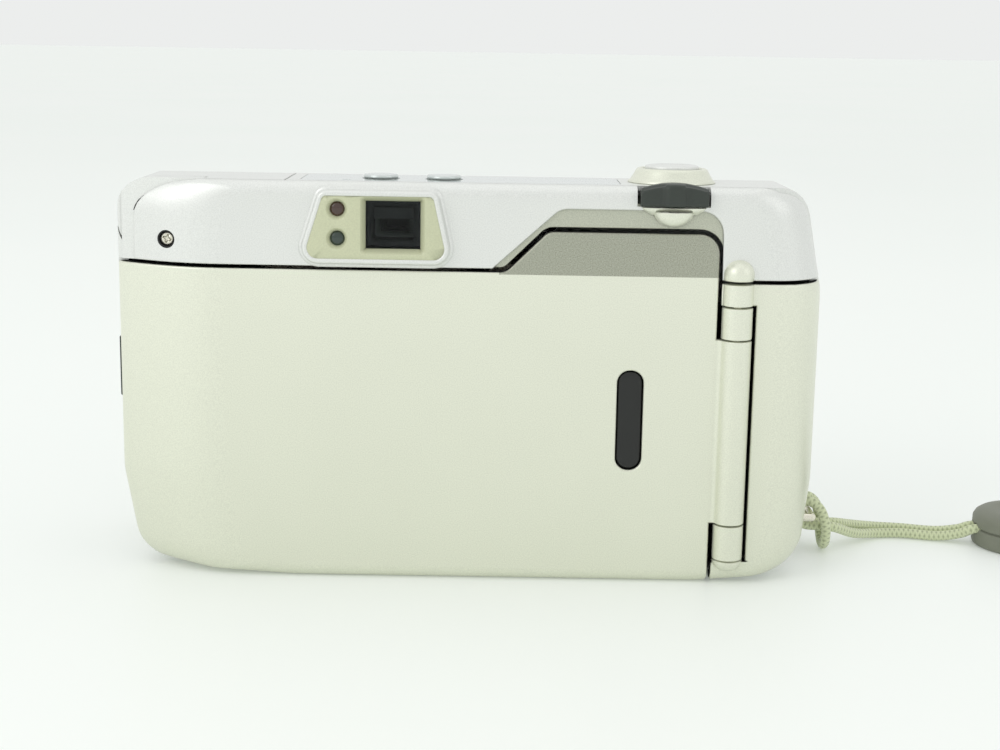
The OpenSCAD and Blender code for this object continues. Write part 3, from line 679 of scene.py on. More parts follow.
@dataclass(frozen=True)
class Braid:
    """A braided cord: two families of strands that cross on the cord's own UV map, with painted shade
    between them.

    Attributes:
        name: the material's name.
        light: linear colour of the strands.
        dark: linear colour between them, painted shade in the grooves.
        around: strands round the cord.
        along: crossings for each unit of the map along the cord.
    """

    name: str
    light: Colour
    dark: Colour
    around: float = 6.0
    along: float = 1.0

    def make(self) -> bpy.types.Material:
        """Builds the material."""
        material, tree, shader = tree_of(self.name)
        place = tree.nodes.new("ShaderNodeTexCoord")
        split = tree.nodes.new("ShaderNodeSeparateXYZ")
        tree.links.new(place.outputs["UV"], split.inputs[0])
        waves = []
        for sign in (1, -1):
            slope = self.math(tree, "MULTIPLY", split.outputs["Y"], 2 * math.pi * self.around * sign)
            run = self.math(tree, "MULTIPLY", split.outputs["X"], 2 * math.pi * self.along)
            total = tree.nodes.new("ShaderNodeMath")
            tree.links.new(slope, total.inputs[0])
            tree.links.new(run, total.inputs[1])
            waves.append(self.math(tree, "SINE", total.outputs[0]))
        high = tree.nodes.new("ShaderNodeMath")
        high.operation = "MAXIMUM"
        tree.links.new(waves[0], high.inputs[0])
        tree.links.new(waves[1], high.inputs[1])
        fuzz = noise(tree, 2500.0, 3.0)
        mixed = tree.nodes.new("ShaderNodeMath")
        mixed.operation = "MULTIPLY_ADD"
        tree.links.new(fuzz.outputs["Fac"], mixed.inputs[0])
        mixed.inputs[1].default_value = 0.5
        tree.links.new(high.outputs[0], mixed.inputs[2])
        scaled = tree.nodes.new("ShaderNodeMapRange")
        scaled.inputs["From Min"].default_value = -0.6
        scaled.inputs["From Max"].default_value = 1.3
        tree.links.new(mixed.outputs[0], scaled.inputs["Value"])
        # painted shade between the strands (dark) and a painted highlight on their crowns (light made
        # lighter)
        colour = ramp(
            tree,
            scaled.outputs["Result"],
            [(0.0, self.dark), (0.55, self.light), (1.0, shade(self.light, 1.12))],
        )
        tree.links.new(colour, shader.inputs["Base Color"])
        shader.inputs["Roughness"].default_value = 0.85
        shader.inputs["Sheen Weight"].default_value = 0.35
        bump(tree, shader, scaled.outputs["Result"], 0.00012, 0.9)
        return material

    @staticmethod
    def math(
        tree: bpy.types.NodeTree, operation: str, value: bpy.types.NodeSocket, by: float | None = None
    ) -> bpy.types.NodeSocket:
        """One sum on a value."""
        node = tree.nodes.new("ShaderNodeMath")
        node.operation = operation
        tree.links.new(value, node.inputs[0])
        if by is not None:
            node.inputs[1].default_value = by
        return node.outputs[0]


class Finishes:
    """Every finish of the camera, by the record's slot names, and the few that only the looks need."""

    def __init__(self) -> None:
        """Builds the materials."""
        silver, champagne = (0.79, 0.80, 0.775), (0.80, 0.815, 0.695)
        kinds = [
            # the second colour of the silver and champagne lacquers is painted shade towards the base
            Lacquer("silver_paint", silver, (0.70, 0.71, 0.66)),
            Lacquer("champagne_paint", champagne, (0.71, 0.73, 0.60)),
            Lacquer("band_paint", (0.39, 0.40, 0.325), (0.39, 0.40, 0.325), 0.22, 0.42, 0.6),
            Lacquer("upper_band_paint", (0.52, 0.535, 0.44), (0.52, 0.535, 0.44), 0.12, 0.4, 0.55),
            Lacquer("bezel_paint", (0.59, 0.61, 0.42), (0.59, 0.61, 0.42), 0.05, 0.5, 0.1),
            Moulded("dark_plastic", (0.030, 0.038, 0.031), 0.42, 2200.0),
            Moulded("black_plastic", (0.012, 0.012, 0.013), 0.6),
            Moulded("smoked_window", (0.006, 0.007, 0.006), 0.3, 500.0, 0.000004, 0.0),
            Glass("optical_glass", (0.62, 0.66, 0.66), 1.0, 0.01),
            Glass("clear_window", (0.90, 0.92, 0.88), 0.8, 0.08),
            Moulded("amber_lamp", (0.045, 0.014, 0.006), 0.15, 300.0, 0.00001, 0.8),
            Moulded("green_lamp", (0.012, 0.03, 0.02), 0.12, 300.0, 0.00001, 0.8),
            Metal("plated_steel", (0.80, 0.77, 0.66), 0.26),
            Moulded("chassis_plastic", (0.016, 0.016, 0.016), 0.66),
            Lacquer("barrel_finish", (0.10, 0.105, 0.105), (0.10, 0.105, 0.105), 0.1, 0.4, 0.6),
            Metal("ring_finish", (0.66, 0.67, 0.62), 0.33, 500.0),
            Moulded("gear_plastic", (0.72, 0.68, 0.56), 0.4),
            Moulded("foam", (0.01, 0.01, 0.01), 0.95, 1500.0, 0.0002),
            Moulded("board", (0.01, 0.075, 0.035), 0.4, 400.0, 0.00004, 0.3),
            Moulded("capacitor_sleeve", (0.01, 0.025, 0.11), 0.25, 500.0, 0.00001, 0.4),
            Metal("gold_contact", (0.75, 0.52, 0.16), 0.2),
            Moulded("battery_wrap", (0.02, 0.02, 0.025), 0.3, 500.0, 0.00001, 0.4),
            # the braid's darker colour is painted shade in the grooves between strands
            Braid("strap_fabric", (0.60, 0.65, 0.42), (0.40, 0.44, 0.27), 3.0, 1.0),
            Moulded("slider_plastic", (0.19, 0.20, 0.155), 0.5, 1800.0, 0.00004),
            # near-black: the dark inside of the covers, and painted shade on the covers' walls along the
            # gaps and on the seam sheet
            Moulded("inner_plastic", (0.006, 0.006, 0.006), 0.85),
            Lacquer("panel_paint", (0.68, 0.72, 0.71), (0.68, 0.72, 0.71), 0.03, 0.18, 0.5),
        ]
        self.made = {kind.name: kind.make() for kind in kinds}

    def __getitem__(self, name: str) -> bpy.types.Material:
        """The material of a name."""
        return self.made[name]


# ---- Body -----------------------------------------------------------------------------------------


def box_of(node: str) -> tuple[Vector, Vector]:
    """The corners of a CAD node in millimetres."""
    low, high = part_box(node)
    return low / MM, high / MM


def centre_of(node: str) -> Point3:
    """The middle of a CAD node in millimetres."""
    return tuple((a + b) / 2 for a, b in zip(*box_of(node)))


@dataclass(frozen=True)
class Body:
    """The camera's outer shape and parting lines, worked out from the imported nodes.

    Attributes:
        left: left end of the covers.
        right: right end of the covers.
        rear: the flat of the back.
        front: the flat of the front.
        top: top of the covers.
        gap: width of the gap round the door.
        lip: radius of the covers' rounded rims.
        wall: thickness of the covers.
        hinge_radius: radius of the hinge's barrel and knuckles.
        slot_z: bottom and top of the slot that the hinge turns in.
    """

    left: float
    right: float
    rear: float
    front: float
    top: float
    gap: float = 0.6
    lip: float = 0.34
    wall: float = 1.55
    hinge_radius: float = 2.55
    slot_z: Point = (4.3, 47.9)

    @classmethod
    def from_frame(cls) -> "Body":
        """Reads the five faces off the covers and the film window."""
        low, high = box_of("front_cover")
        window_low, _ = box_of("film_window")
        return cls(low.x, high.x, window_low.y - 0.3, high.y, high.z)

    @property
    def seam_y(self) -> float:
        """Seam between the back and front covers, on top."""
        return self.rear + 2.6

    @property
    def door_seam_y(self) -> float:
        """Seam between the door and the front cover."""
        return self.rear + 8.4

    @property
    def gap_z(self) -> float:
        """Gap above the door, left of the step."""
        return self.top - 14.1

    @property
    def door_top(self) -> float:
        """Gap above the door, right of the step."""
        return self.top - 7.3

    @property
    def right_gap_z(self) -> float:
        """Gap above the right cover."""
        return self.top - 15.4

    @property
    def hinge(self) -> Point:
        """The hinge pin in x and y."""
        return self.right - 15, self.rear + 0.4

    @property
    def door_right(self) -> float:
        """Right edge of the door."""
        return self.hinge[0] - 3

    @property
    def step_x(self) -> float:
        """Top of the door's slanting step."""
        return self.door_right - 28.6

    def door_outline(self) -> list[Corner]:
        """The middle of the gap round the door."""
        far = self.left - 6
        return [
            (far, -4, 1),
            (self.door_right, -4, 1),
            (self.door_right, self.door_top, 3.6),
            (self.step_x, self.door_top, 2.4),
            (self.step_x - 6.9, self.gap_z, 2.4),
            (far, self.gap_z, 1),
        ]

    def pod_outline(self) -> list[Corner]:
        """The raised housing of the finder's eyepiece."""
        low, high = self.gap_z + 0.9, self.top - 1.3
        return [(-20.6, low, 2.6), (5.1, low, 2.6), (2.4, high, 1.6), (-16.8, high, 1.6)]


class Skin:
    """The camera's smooth outer face: rings across the lens axis, and the flat of the back."""

    STEPS = 10

    def __init__(self, body: Body) -> None:
        """Works out the outlines that the rings follow."""
        self.body = body
        b = body
        self.plan = rounded(
            [
                (b.left + 12.8, b.rear, 42),
                (b.right, b.rear, 9),
                (b.right, b.front, 9),
                (b.left, b.front, 7),
                (b.left, b.rear + 6.9, 4),
            ],
            30,
        )
        self.end = rounded(
            [
                (0, b.rear, 2.4),
                (0, b.front, 4),
                (b.top - 3, b.front, 4),
                (b.top, b.rear + 19, 25),
                (b.top, b.rear, 2.2),
            ][::-1],
            30,
        )
        self.face = [
            (b.left + 2.8, 1.6, 6),
            (b.left + 30, 0, 60),
            (b.right - 20, 0, 60),
            (b.right - 1.6, 1.6, 7),
            (b.right, 17, 20),
            (b.right, b.top - 17, 20),
            (b.right - 3.6, b.top, 6),
            (b.left, b.top, 6.5),
            (b.left, 17, 20),
        ]
        edge = [0.0, 0.035, 0.139, 0.308, 0.538, 0.82, 1.15, 1.51, 1.9, 2.35, 3.2, 4.2, 5.3, 6.6, 7.8, 9.0]
        near = [b.rear + depth for depth in edge]
        far = [b.front - depth for depth in reversed(edge)]
        self.levels = [*near, -8.0, -4.0, -1.0, 3.0, 7.0, *far]

    def outline(self, y: float, inner: float = 0.0) -> list[Point]:
        """The ring at a depth, moved inwards by inner, as (x, z) points."""
        b = self.body
        level = min(max(y, b.rear + 1e-4), b.front - 1e-4)
        x_low, x_high = spans_at(self.plan, level)
        z_low, z_high = spans_at(self.end, level)
        low, high = z_low + inner, b.top - z_high + inner
        near, far = x_low - b.left + inner, b.right - x_high + inner
        return rounded(inset(self.face, [low, low, low, far, far, far, high, near, near]), self.STEPS)

    def band(self, start: float, end: float, inner: float = 0.0) -> bmesh.types.BMesh:
        """The skin between two depths, moved inwards, without the flat back or front."""
        inside = [y for y in self.levels if start + 0.12 < y < end - 0.12]
        return rows([[(x, y, z) for x, z in self.outline(y, inner)] for y in [start, *inside, end]])

    def cap(
        self,
        mesh: bmesh.types.BMesh,
        y: float,
        paths: Sequence[Sequence[Point]],
        holes: Sequence[Sequence[Point]] = (),
    ) -> None:
        """Fills the flat of the back inside a clipped band, up to paths across it and round holes.

        Args:
            mesh: the clipped band, whose border at y is open.
            y: depth of the flat.
            paths: open paths, whose ends are taken to the nearest border points.
            holes: closed outlines that are left open.
        """
        edges = [e for e in mesh.edges if e.is_boundary and all(abs(v.co.y - y) < 1e-4 for v in e.verts)]
        uses: dict[bmesh.types.BMVert, int] = {}
        for e in edges:
            for v in e.verts:
                uses[v] = uses.get(v, 0) + 1
        ends = [v for v, count in uses.items() if count == 1]
        for path in paths:
            first = min(ends, key=lambda v: (v.co.x - path[0][0]) ** 2 + (v.co.z - path[0][1]) ** 2)
            last = min(ends, key=lambda v: (v.co.x - path[-1][0]) ** 2 + (v.co.z - path[-1][1]) ** 2)
            middle = [mesh.verts.new((x, y, z)) for x, z in path[1:-1]]
            chain = [first, *middle, last]
            edges += [mesh.edges.new(pair) for pair in zip(chain, chain[1:])]
        for hole in holes:
            ring = [mesh.verts.new((x, y, z)) for x, z in hole]
            edges += [mesh.edges.new(pair) for pair in zip(ring, ring[1:] + ring[:1])]
        filled = bmesh.ops.triangle_fill(mesh, use_beauty=True, use_dissolve=False, edges=edges)
        faces = [f for f in filled["geom"] if isinstance(f, bmesh.types.BMFace)]
        toward = -1 if y < 0 else 1
        for face in faces:
            face.normal_update()
            if face.normal.y * toward < 0:
                face.normal_flip()


@dataclass
class BackCovers:
    """The back cover, its recessed band, the right cover and the hinged door.

    Attributes:
        body: the camera's outer shape.
        skin: its smooth outer face.
        finishes: the finishes.
        band_depth: how far the recessed band lies below the back.
        band_rise: height of the band above the door.
        cover_reach: depth of the back cover before its seam is cut.
        end_reach: depth of the right end cover before its seam is cut.
        paint_line: height above which the door's step is painted darker.
        barrel_z: bottom and top of the door's hinge barrel.
        screw: place of the screw on the back, in x and z.
    """

    body: Body
    skin: Skin
    finishes: Finishes
    band_depth: float = 0.6
    band_rise: float = 3.5
    cover_reach: float = 11.0
    end_reach: float = 12.0
    paint_line: float = 52.5
    barrel_z: Point = (10.8, 42.1)
    screw: Point = (0.0, 0.0)

    def build(self) -> None:
        """Builds every piece of the back."""
        b = self.body
        self.screw = (b.left + 9.5, b.top - 10)
        self.door()
        self.rear_cover()
        self.recessed_band()
        self.right_cover()
        self.painted_shade_sheet()

    def window_outline(self, grow: float) -> list[Corner]:
        """The stadium of the film window."""
        x, _, z = centre_of("film_window")
        half_w, half_h = 2.2 + grow, 8.5 + grow
        return rectangle((x - half_w, x + half_w), (z - half_h, z + half_h), half_w - 0.02)

    def door(self) -> None:
        """The door: a stepped leaf with a painted band, a window hole and the long hinge barrel."""
        b = self.body
        back = b.gap / 2 + b.lip
        z_left, x_right = b.gap_z - back, b.door_right - back
        mesh = self.skin.band(b.rear, b.door_seam_y - b.gap / 2 - b.lip)
        clip(mesh, (0, 0, z_left), (0, 0, 1))
        clip(mesh, (x_right, 0, 0), (1, 0, 0))
        under_barrel = b.hinge[0] - 2.7
        outline = inset(b.door_outline(), back)
        tab_low, tab_high = self.barrel_z[0] + 0.2, self.barrel_z[1] - 0.2
        path = [
            (x_right, 0.0),
            (x_right, tab_low),
            (under_barrel, tab_low),
            (under_barrel, tab_high),
            (x_right, tab_high),
            *stretch(outline, 2, 4),
            (self.skin.outline(b.rear)[-1][0], z_left),
        ]
        hole = rounded(self.window_outline(0.35), 12)
        self.skin.cap(mesh, b.rear, [path], [hole])
        clip(mesh, (0, 0, self.paint_line), (0, 0, 1), clear=False)
        shelled(mesh, b.wall, b.lip)
        paint_left = b.step_x - 9
        for face in mesh.faces:
            centre = face.calc_center_median()
            if face.material_index == 0 and centre.z > self.paint_line and centre.x > paint_left:
                face.material_index = 2
        paints = [self.finishes[n] for n in ("champagne_paint", "inner_plastic", "band_paint")]
        piece = finished("door_leaf", mesh, "door", paints)
        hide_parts("rear_door")
        shape = self.barrel_mesh(*self.barrel_z)
        barrel = finished("door_hinge_barrel", shape, "door", paints[:1], bevel=0.16)
        self.window_pane()

    def barrel_mesh(self, low: float, high: float) -> bmesh.types.BMesh:
        """The door's long hinge barrel, which runs into the leaf with a hollow fillet."""
        x, y = self.body.hinge
        r, fillet, rear = self.body.hinge_radius, 1.0, self.body.rear
        lift = y - (rear - fillet)
        centre_x = x - math.sqrt((r + fillet) ** 2 - lift**2)
        turn = math.atan2(lift, x - centre_x)
        section = [(centre_x - 1.2, rear + 1.4), (centre_x - 1.2, rear - 0.01)]
        for k in range(7):
            a = math.pi / 2 - (math.pi / 2 - turn) * k / 6
            section.append((centre_x + fillet * math.cos(a), rear - fillet + fillet * math.sin(a)))
        start = math.pi + turn
        for k in range(1, 29):
            a = start + (2 * math.pi - start + 0.9) * k / 28
            section.append((x + r * math.cos(a), y + r * math.sin(a)))
        section.append((x - 1.5, rear + 1.4))
        return rows([[(px, py, z) for px, py in section] for z in (low, high)], capped=True)

    def window_pane(self) -> None:
        """The smoked pane over the cartridge, with a rolled edge, set a little into the door."""
        edge = [(0.12, 1.6), (0.1, 0.75), (0.22, 0.52), (0.5, 0.42), (1.1, 0.38), (1.6, 0.37)]
        profile = [(by, self.body.rear + depth) for by, depth in edge]
        mesh = rows(rim_rows(self.window_outline(0.0), profile, 10), capped=True)
        pane = finished("film_window_pane", mesh, "door", [self.finishes["smoked_window"]])
        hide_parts("film_window")

    def band_corners(self) -> list[Corner]:
        """The recess above the door: its foot, its top and its right end."""
        b = self.body
        right, low = b.door_right + 0.2, b.gap_z
        return [
            (b.step_x - 8.2, low - 3, 0.5),
            (right, low - 3, 0.5),
            (right, b.door_top + self.band_rise, 3.8),
            (b.step_x + 1.9, b.door_top + self.band_rise, 3.2),
            (b.step_x - 8.2, low, 1),
        ]

    def rear_cover(self) -> None:
        """The back cover above the door, with holes for the screw, the finder and the zoom rocker."""
        b = self.body
        out = b.gap / 2 + b.lip
        mesh = self.skin.band(b.rear, b.rear + self.cover_reach)
        clip(mesh, (0, 0, b.right_gap_z + out), (0, 0, -1))
        self.trim_seam(mesh, 0.15 + b.lip)
        self.trim_left(mesh, b.gap_z + out)
        gap = inset(b.door_outline(), -out)
        band = inset(self.band_corners(), -0.3)
        rise = stretch(band, 2, 4)[::-1]
        path = [
            (self.skin.outline(b.rear)[-1][0], b.gap_z + out),
            (rise[0][0] - 0.6, b.gap_z + out),
            *[(x, max(z, b.gap_z + out)) for x, z in rise if z > b.gap_z + out + 0.2],
            (gap[2][0], b.right_gap_z + out),
            (b.right, b.right_gap_z + out),
        ]
        self.skin.cap(mesh, b.rear, [path])
        shelled(mesh, b.wall, b.lip)
        paints = [self.finishes[n] for n in ("silver_paint", "inner_plastic")]
        piece = finished("back_cover", mesh, "body", paints)
        x, z = self.screw
        hole = turned(bar_profile(1.5, b.rear - 1, b.rear + 3.4), (x, 0, z), Axis.LENS)
        low, high = box_of("eyepiece")
        finder = box_mesh((low.x, high.x), (b.rear - 2, b.rear + 4), (low.z, high.z))
        low, high = box_of("zoom_rocker")
        span = (low.x - 0.4, high.x + 0.4)
        bay = box_mesh(span, (b.rear - 2, b.seam_y + 2), (b.top - 3.2, b.top + 2))
        carve(piece, hole, finder, bay)
        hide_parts("rear_cover")

    def painted_shade_sheet(self) -> None:
        """A painted shade: a dark strip inside the covers' walls, where there is only shade, that makes the
        seam between them read black.
        """
        b = self.body
        # painted shade: a dark sheet that stands for the shade inside the seam
        mesh = self.skin.band(b.rear + 1.2, b.rear + 13, 0.8)
        clip(mesh, (0, 0, b.gap_z + 0.6), (0, 0, -1))
        self.trim_seam(mesh, -0.1)
        low, high = box_of("zoom_rocker")
        gone = []
        for face in mesh.faces:
            centre = face.calc_center_median()
            at_rocker = low.x - 1 < centre.x < high.x + 1
            at_screw = centre.x < b.left + 16 and centre.z < b.top - 6
            if at_rocker or at_screw:
                gone.append(face)
        bmesh.ops.delete(mesh, geom=gone, context="FACES")
        strip = finished("seam_liner", mesh, "body", [self.finishes["inner_plastic"]], weighted=False)

    def trim_seam(self, mesh: bmesh.types.BMesh, back: float) -> None:
        """Cuts the band along the seam behind the front cover, which slants forward at both ends.

        Args:
            mesh: the band.
            back: how far behind the seam it ends.
        """
        b = self.body
        zones = []
        for x, run, rise in ((b.left + 14, -18.0, 4.9), (b.hinge[0] + 6.1, 12.9, 9.0)):
            slope = rise / run
            corner = x + back * (math.sqrt(1 + slope**2) - 1) / slope
            clip(mesh, (corner, 0, 0), (1, 0, 0), clear=False)
            zones.append((corner, Vector((-slope, 1, 0)).normalized(), x))
        spans = [
            (-1e3, zones[0][0], zones[0][1], zones[0][2]),
            (zones[0][0], zones[1][0], Vector((0, 1, 0)), 0.0),
            (zones[1][0], 1e3, zones[1][1], zones[1][2]),
        ]
        for low, high, normal, x in spans:
            faces = [f for f in mesh.faces if low < f.calc_center_median().x < high]
            edges = {e for f in faces for e in f.edges}
            verts = {v for f in faces for v in f.verts}
            geometry = [*verts, *edges, *faces]
            point = Vector((x, b.seam_y, 0)) - normal * back
            bmesh.ops.bisect_plane(mesh, geom=geometry, dist=WELD, plane_co=point, plane_no=normal)
            inside = [f for f in mesh.faces if low < f.calc_center_median().x < high]
            gone = [f for f in inside if (f.calc_center_median() - point).dot(normal) > 0]
            bmesh.ops.delete(mesh, geom=gone, context="FACES")

    def trim_left(self, mesh: bmesh.types.BMesh, z: float) -> None:
        """Cuts the left part of the band at the gap above the door."""
        clip(mesh, (0, 0, z), (0, 0, 1), clear=False)
        gone = [f for f in mesh.faces if f.calc_center_median().z < z and f.calc_center_median().x < 0]
        bmesh.ops.delete(mesh, geom=gone, context="FACES")

    def recessed_band(self) -> None:
        """The darker strip that follows the door's step, sunk below the back cover's face."""
        b = self.body
        out = b.gap / 2 + b.lip
        y, low = b.rear + self.band_depth, b.gap_z + out
        foot = stretch(inset(b.door_outline(), -out), 2, 4)
        head = stretch(inset(self.band_corners(), -0.8), 2, 4)
        paths = []
        for edge, floor in ((foot, low), (head, low + 0.01)):
            paths.append([(x, y, max(z, floor)) for x, z in edge])
        mesh = rows(paths, closed=False)
        bmesh.ops.dissolve_degenerate(mesh, dist=1e-4, edges=mesh.edges)
        mesh.normal_update()
        for face in mesh.faces:
            if face.normal.y > 0:
                face.normal_flip()
        shelled(mesh, 0.9, 0.2)
        paints = [self.finishes["upper_band_paint"], self.finishes["inner_plastic"]]
        piece = finished("back_cover_band", mesh, "body", paints)

    def right_cover(self) -> None:
        """The right end cover, with the slot that the hinge turns in."""
        b = self.body
        out = b.gap / 2 + b.lip
        mesh = self.skin.band(b.rear, b.rear + self.end_reach)
        clip(mesh, (0, 0, b.right_gap_z - out), (0, 0, 1))
        clip(mesh, (b.door_right + out, 0, 0), (-1, 0, 0))
        self.trim_seam(mesh, 0.15 + b.lip)
        x, slot_right = b.door_right + out, b.hinge[0] + 3.1 + b.lip
        low, high = b.slot_z[0] - b.lip, b.slot_z[1] + b.lip
        ring = self.skin.outline(b.rear)
        path = [
            (b.right, b.right_gap_z - out),
            (x, b.right_gap_z - out),
            (x, high),
            (slot_right, high),
            (slot_right, low),
            (x, low),
            (x, min(z for _, z in ring)),
        ]
        self.skin.cap(mesh, b.rear, [path])
        shelled(mesh, b.wall, b.lip)
        paints = [self.finishes[n] for n in ("champagne_paint", "inner_plastic")]
        piece = finished("right_end_cover", mesh, "body", paints)
        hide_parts("right_cover")


@dataclass
class Hinge:
    """The fixed knuckles, the bullet-shaped cap above them and the foot below.

    Attributes:
        body: the camera's outer shape.
        finishes: the finishes.
        knuckles: bottom and top of the bracket's upper and lower knuckles.
        dome_z: height at which the cap starts to round off.
        dome_rise: height of the cap's round end.
        foot_drop: height of the foot's round end.
        web_half: half the width of the webs behind the knuckles.
        strap_half: half the width of the strap that joins the webs.
        reach: how far the webs and the strap run forward from the pin.
    """

    body: Body
    finishes: Finishes
    knuckles: tuple[Point, Point] = ((42.4, 47.6), (4.6, 10.5))
    dome_z: float = 53.1
    dome_rise: float = 2.45
    foot_drop: float = 1.9
    web_half: float = 1.4
    strap_half: float = 2.0
    reach: float = 4.2

    def build(self) -> None:
        """Builds the knuckles from the top down."""
        b, r = self.body, self.body.hinge_radius
        x, y = b.hinge
        centre = (x, y, 0)
        paint = [self.finishes["champagne_paint"]]
        base = b.right_gap_z + 0.3
        dome = [(0, base), (r - 0.12, base), (r, base + 0.15), (r, self.dome_z)]
        for a in np.linspace(0.15, math.pi / 2, 12):
            dome.append((r * math.cos(a), self.dome_z + self.dome_rise * math.sin(a)))
        finished("hinge_cap", turned(dome, centre, Axis.UP), "body", paint)
        low, high = b.slot_z
        top = turned(soft_profile(r, high + 0.05, b.right_gap_z - 0.3, 0.12), centre, Axis.UP)
        foot = []
        for a in np.linspace(0, math.pi / 2, 12):
            foot.append((r * math.sin(a), low - 0.05 - self.foot_drop * math.cos(a)))
        bottom = turned([*foot, (r, low), (0, low)], centre, Axis.UP)
        finished("hinge_end_knuckles", joined(top, bottom), "body", paint)
        rings = [turned(soft_profile(r, *z, 0.14), centre, Axis.UP) for z in self.knuckles]
        web_x = (x - self.web_half, x + self.web_half)
        webs = [box_mesh(web_x, (y, y + self.reach), z) for z in self.knuckles]
        strap_x = (x - self.strap_half, x + self.strap_half)
        span = (self.knuckles[1][0], self.knuckles[0][1])
        strap = box_mesh(strap_x, (y + self.reach - 1, y + self.reach), span)
        bracket = finished("hinge_bracket_knuckles", joined(*rings, *webs, strap), "body", paint)
        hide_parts("hinge_bracket")


@dataclass
class Finder:
    """The eyepiece housing on the back cover: raised rim, cream plate, glass and two lamps.

    Attributes:
        body: the camera's outer shape.
        finishes: the finishes.
        rise: height of the rim above the back.
        sink: radius of the lamps' countersinks.
        sides: sides of each countersink.
    """

    body: Body
    finishes: Finishes
    rise: float = 1.6
    sink: float = 1.86
    sides: int = 28

    def build(self) -> None:
        """Builds the housing and what is in it."""
        b = self.body
        outline = b.pod_outline()
        face = b.rear - self.rise
        fillet = [(-0.75, 0.3), (-0.7, -0.02), (-0.35, -0.12), (-0.12, -0.35)]
        rim = [(0.0, 0.55), (0.05, 0.3), (0.17, 0.1), (0.38, 0.0), (0.62, 0.02), (0.8, 0.12), (0.86, 0.3)]
        rim.append((0.86, 1.4))
        profile = [(by, b.rear + depth) for by, depth in fillet] + [(by, face + depth) for by, depth in rim]
        mesh = rows(rim_rows(outline, profile, 10))
        pod = finished("finder_housing", mesh, "body", [self.finishes["silver_paint"]])
        self.plate(outline, face)
        self.glass(face)
        self.lamps(face)

    def plate(self, outline: list[Corner], face: float) -> None:
        """The cream plate, with a bevelled window and two countersinks."""
        low, high = box_of("eyepiece")
        window = rectangle((low.x - 0.55, high.x + 0.55), (low.z - 0.6, high.z + 0.5), 0.55)
        throat = rectangle((low.x + 0.35, high.x - 0.35), (low.z + 0.3, high.z - 0.35), 0.15)
        centres = [centre_of(node)[::2] for node in ("focus_lamp", "flash_lamp")]
        sinks = [circle(x, z, self.sink, self.sides) for x, z in centres]
        mesh = bmesh.new()
        y = face + 0.14
        edges = []
        for ring in [rounded(inset(outline, 0.84), 10), rounded(window, 5), *sinks]:
            verts = [mesh.verts.new((x, y, z)) for x, z in ring]
            edges += [mesh.edges.new(pair) for pair in zip(verts, verts[1:] + verts[:1])]
        bmesh.ops.triangle_fill(mesh, use_beauty=True, edges=edges)
        for f in mesh.faces:
            f.normal_update()
            if f.normal.y > 0:
                f.normal_flip()
        profile = [(self.sink, 0.0), (1.72, 0.08), (1.28, 0.95), (1.2, 1.05), (1.18, 1.5)]
        for cx, cz in centres:
            rings = []
            for radius, depth in profile:
                rings.append([(x, y + depth, z) for x, z in circle(cx, cz, radius, self.sides)])
            self.add_rows(mesh, rings)
        rings = []
        for t, depth in ((0.0, 0.0), (0.1, 0.03), (0.42, 0.35), (1.0, 1.25)):
            corners = [tuple(a + (c - a) * t for a, c in zip(p, q)) for p, q in zip(window, throat)]
            rings.append([(x, y + depth, z) for x, z in rounded(corners, 5)])
        self.add_rows(mesh, rings)
        bmesh.ops.remove_doubles(mesh, verts=mesh.verts, dist=1e-4)
        bmesh.ops.recalc_face_normals(mesh, faces=mesh.faces)
        flat = max(mesh.faces, key=lambda f: f.calc_area())
        if flat.normal.y > 0:
            bmesh.ops.reverse_faces(mesh, faces=mesh.faces)
        piece = finished("finder_plate", mesh, "body", [self.finishes["bezel_paint"]])
        solid = piece.modifiers.new("wall", "SOLIDIFY")
        solid.thickness = 0.25 * MM
        solid.offset = -1
        piece.modifiers.move(1, 0)
        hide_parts("finder_bezel")

    @staticmethod
    def add_rows(mesh: bmesh.types.BMesh, rings: Sequence[Sequence[Point3]]) -> None:
        """Adds strips between closed rings to a mesh."""
        made = [[mesh.verts.new(p) for p in ring] for ring in rings]
        for a, c in zip(made, made[1:]):
            n = len(a)
            for i in range(n):
                mesh.faces.new([a[i], a[(i + 1) % n], c[(i + 1) % n], c[i]])

    def glass(self, face: float) -> None:
        """The eyepiece: a thin pane, and the finder's dark masks behind it."""
        low, high = box_of("eyepiece")
        outline = rectangle((low.x + 0.2, high.x - 0.2), (low.z + 0.15, high.z - 0.2), 0.2)
        y = face + 1.3
        profile = [(0.0, y + 1.2), (0.0, y + 0.12), (0.12, y), (0.6, y - 0.03), (2.2, y - 0.06)]
        shape = rows(rim_rows(outline, profile, 4), capped=True)
        pane = finished("eyepiece_glass", shape, "body", [self.finishes["optical_glass"]])
        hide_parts("eyepiece")
        x, _, z = centre_of("eyepiece")
        dark, grey = self.finishes["black_plastic"], self.finishes["dark_plastic"]
        frames = [(4.3, 3.7, 2.5, 3.3, 2.6), (3.25, 2.5, 5.0, 2.4, 1.5), (2.35, 1.45, 8.0, 1.6, 0.8)]
        for k, (w, h, depth, iw, ih) in enumerate(frames):
            drop = 0.15 * k
            outer = rectangle((x - w, x + w), (z - h, z + h), 0.3)
            inner = rectangle((x - iw, x + iw), (z - ih - drop, z + ih - drop), 0.25)
            levels = ((outer, depth), (inner, depth + 0.15), (inner, depth + 1.6))
            rings = [[(px, y + d, pz) for px, pz in rounded(c, 4)] for c, d in levels]
            finished(f"finder_mask_{k + 1}", rows(rings), "body", [grey if k == 1 else dark])
        far = rounded(rectangle((x - 2.6, x + 2.6), (z - 2, z + 2), 0.2), 2)
        back = rows([[(px, y + d, pz) for px, pz in far] for d in (11.0, 11.4)], capped=True)
        finished("finder_far_mask", back, "body", [dark])

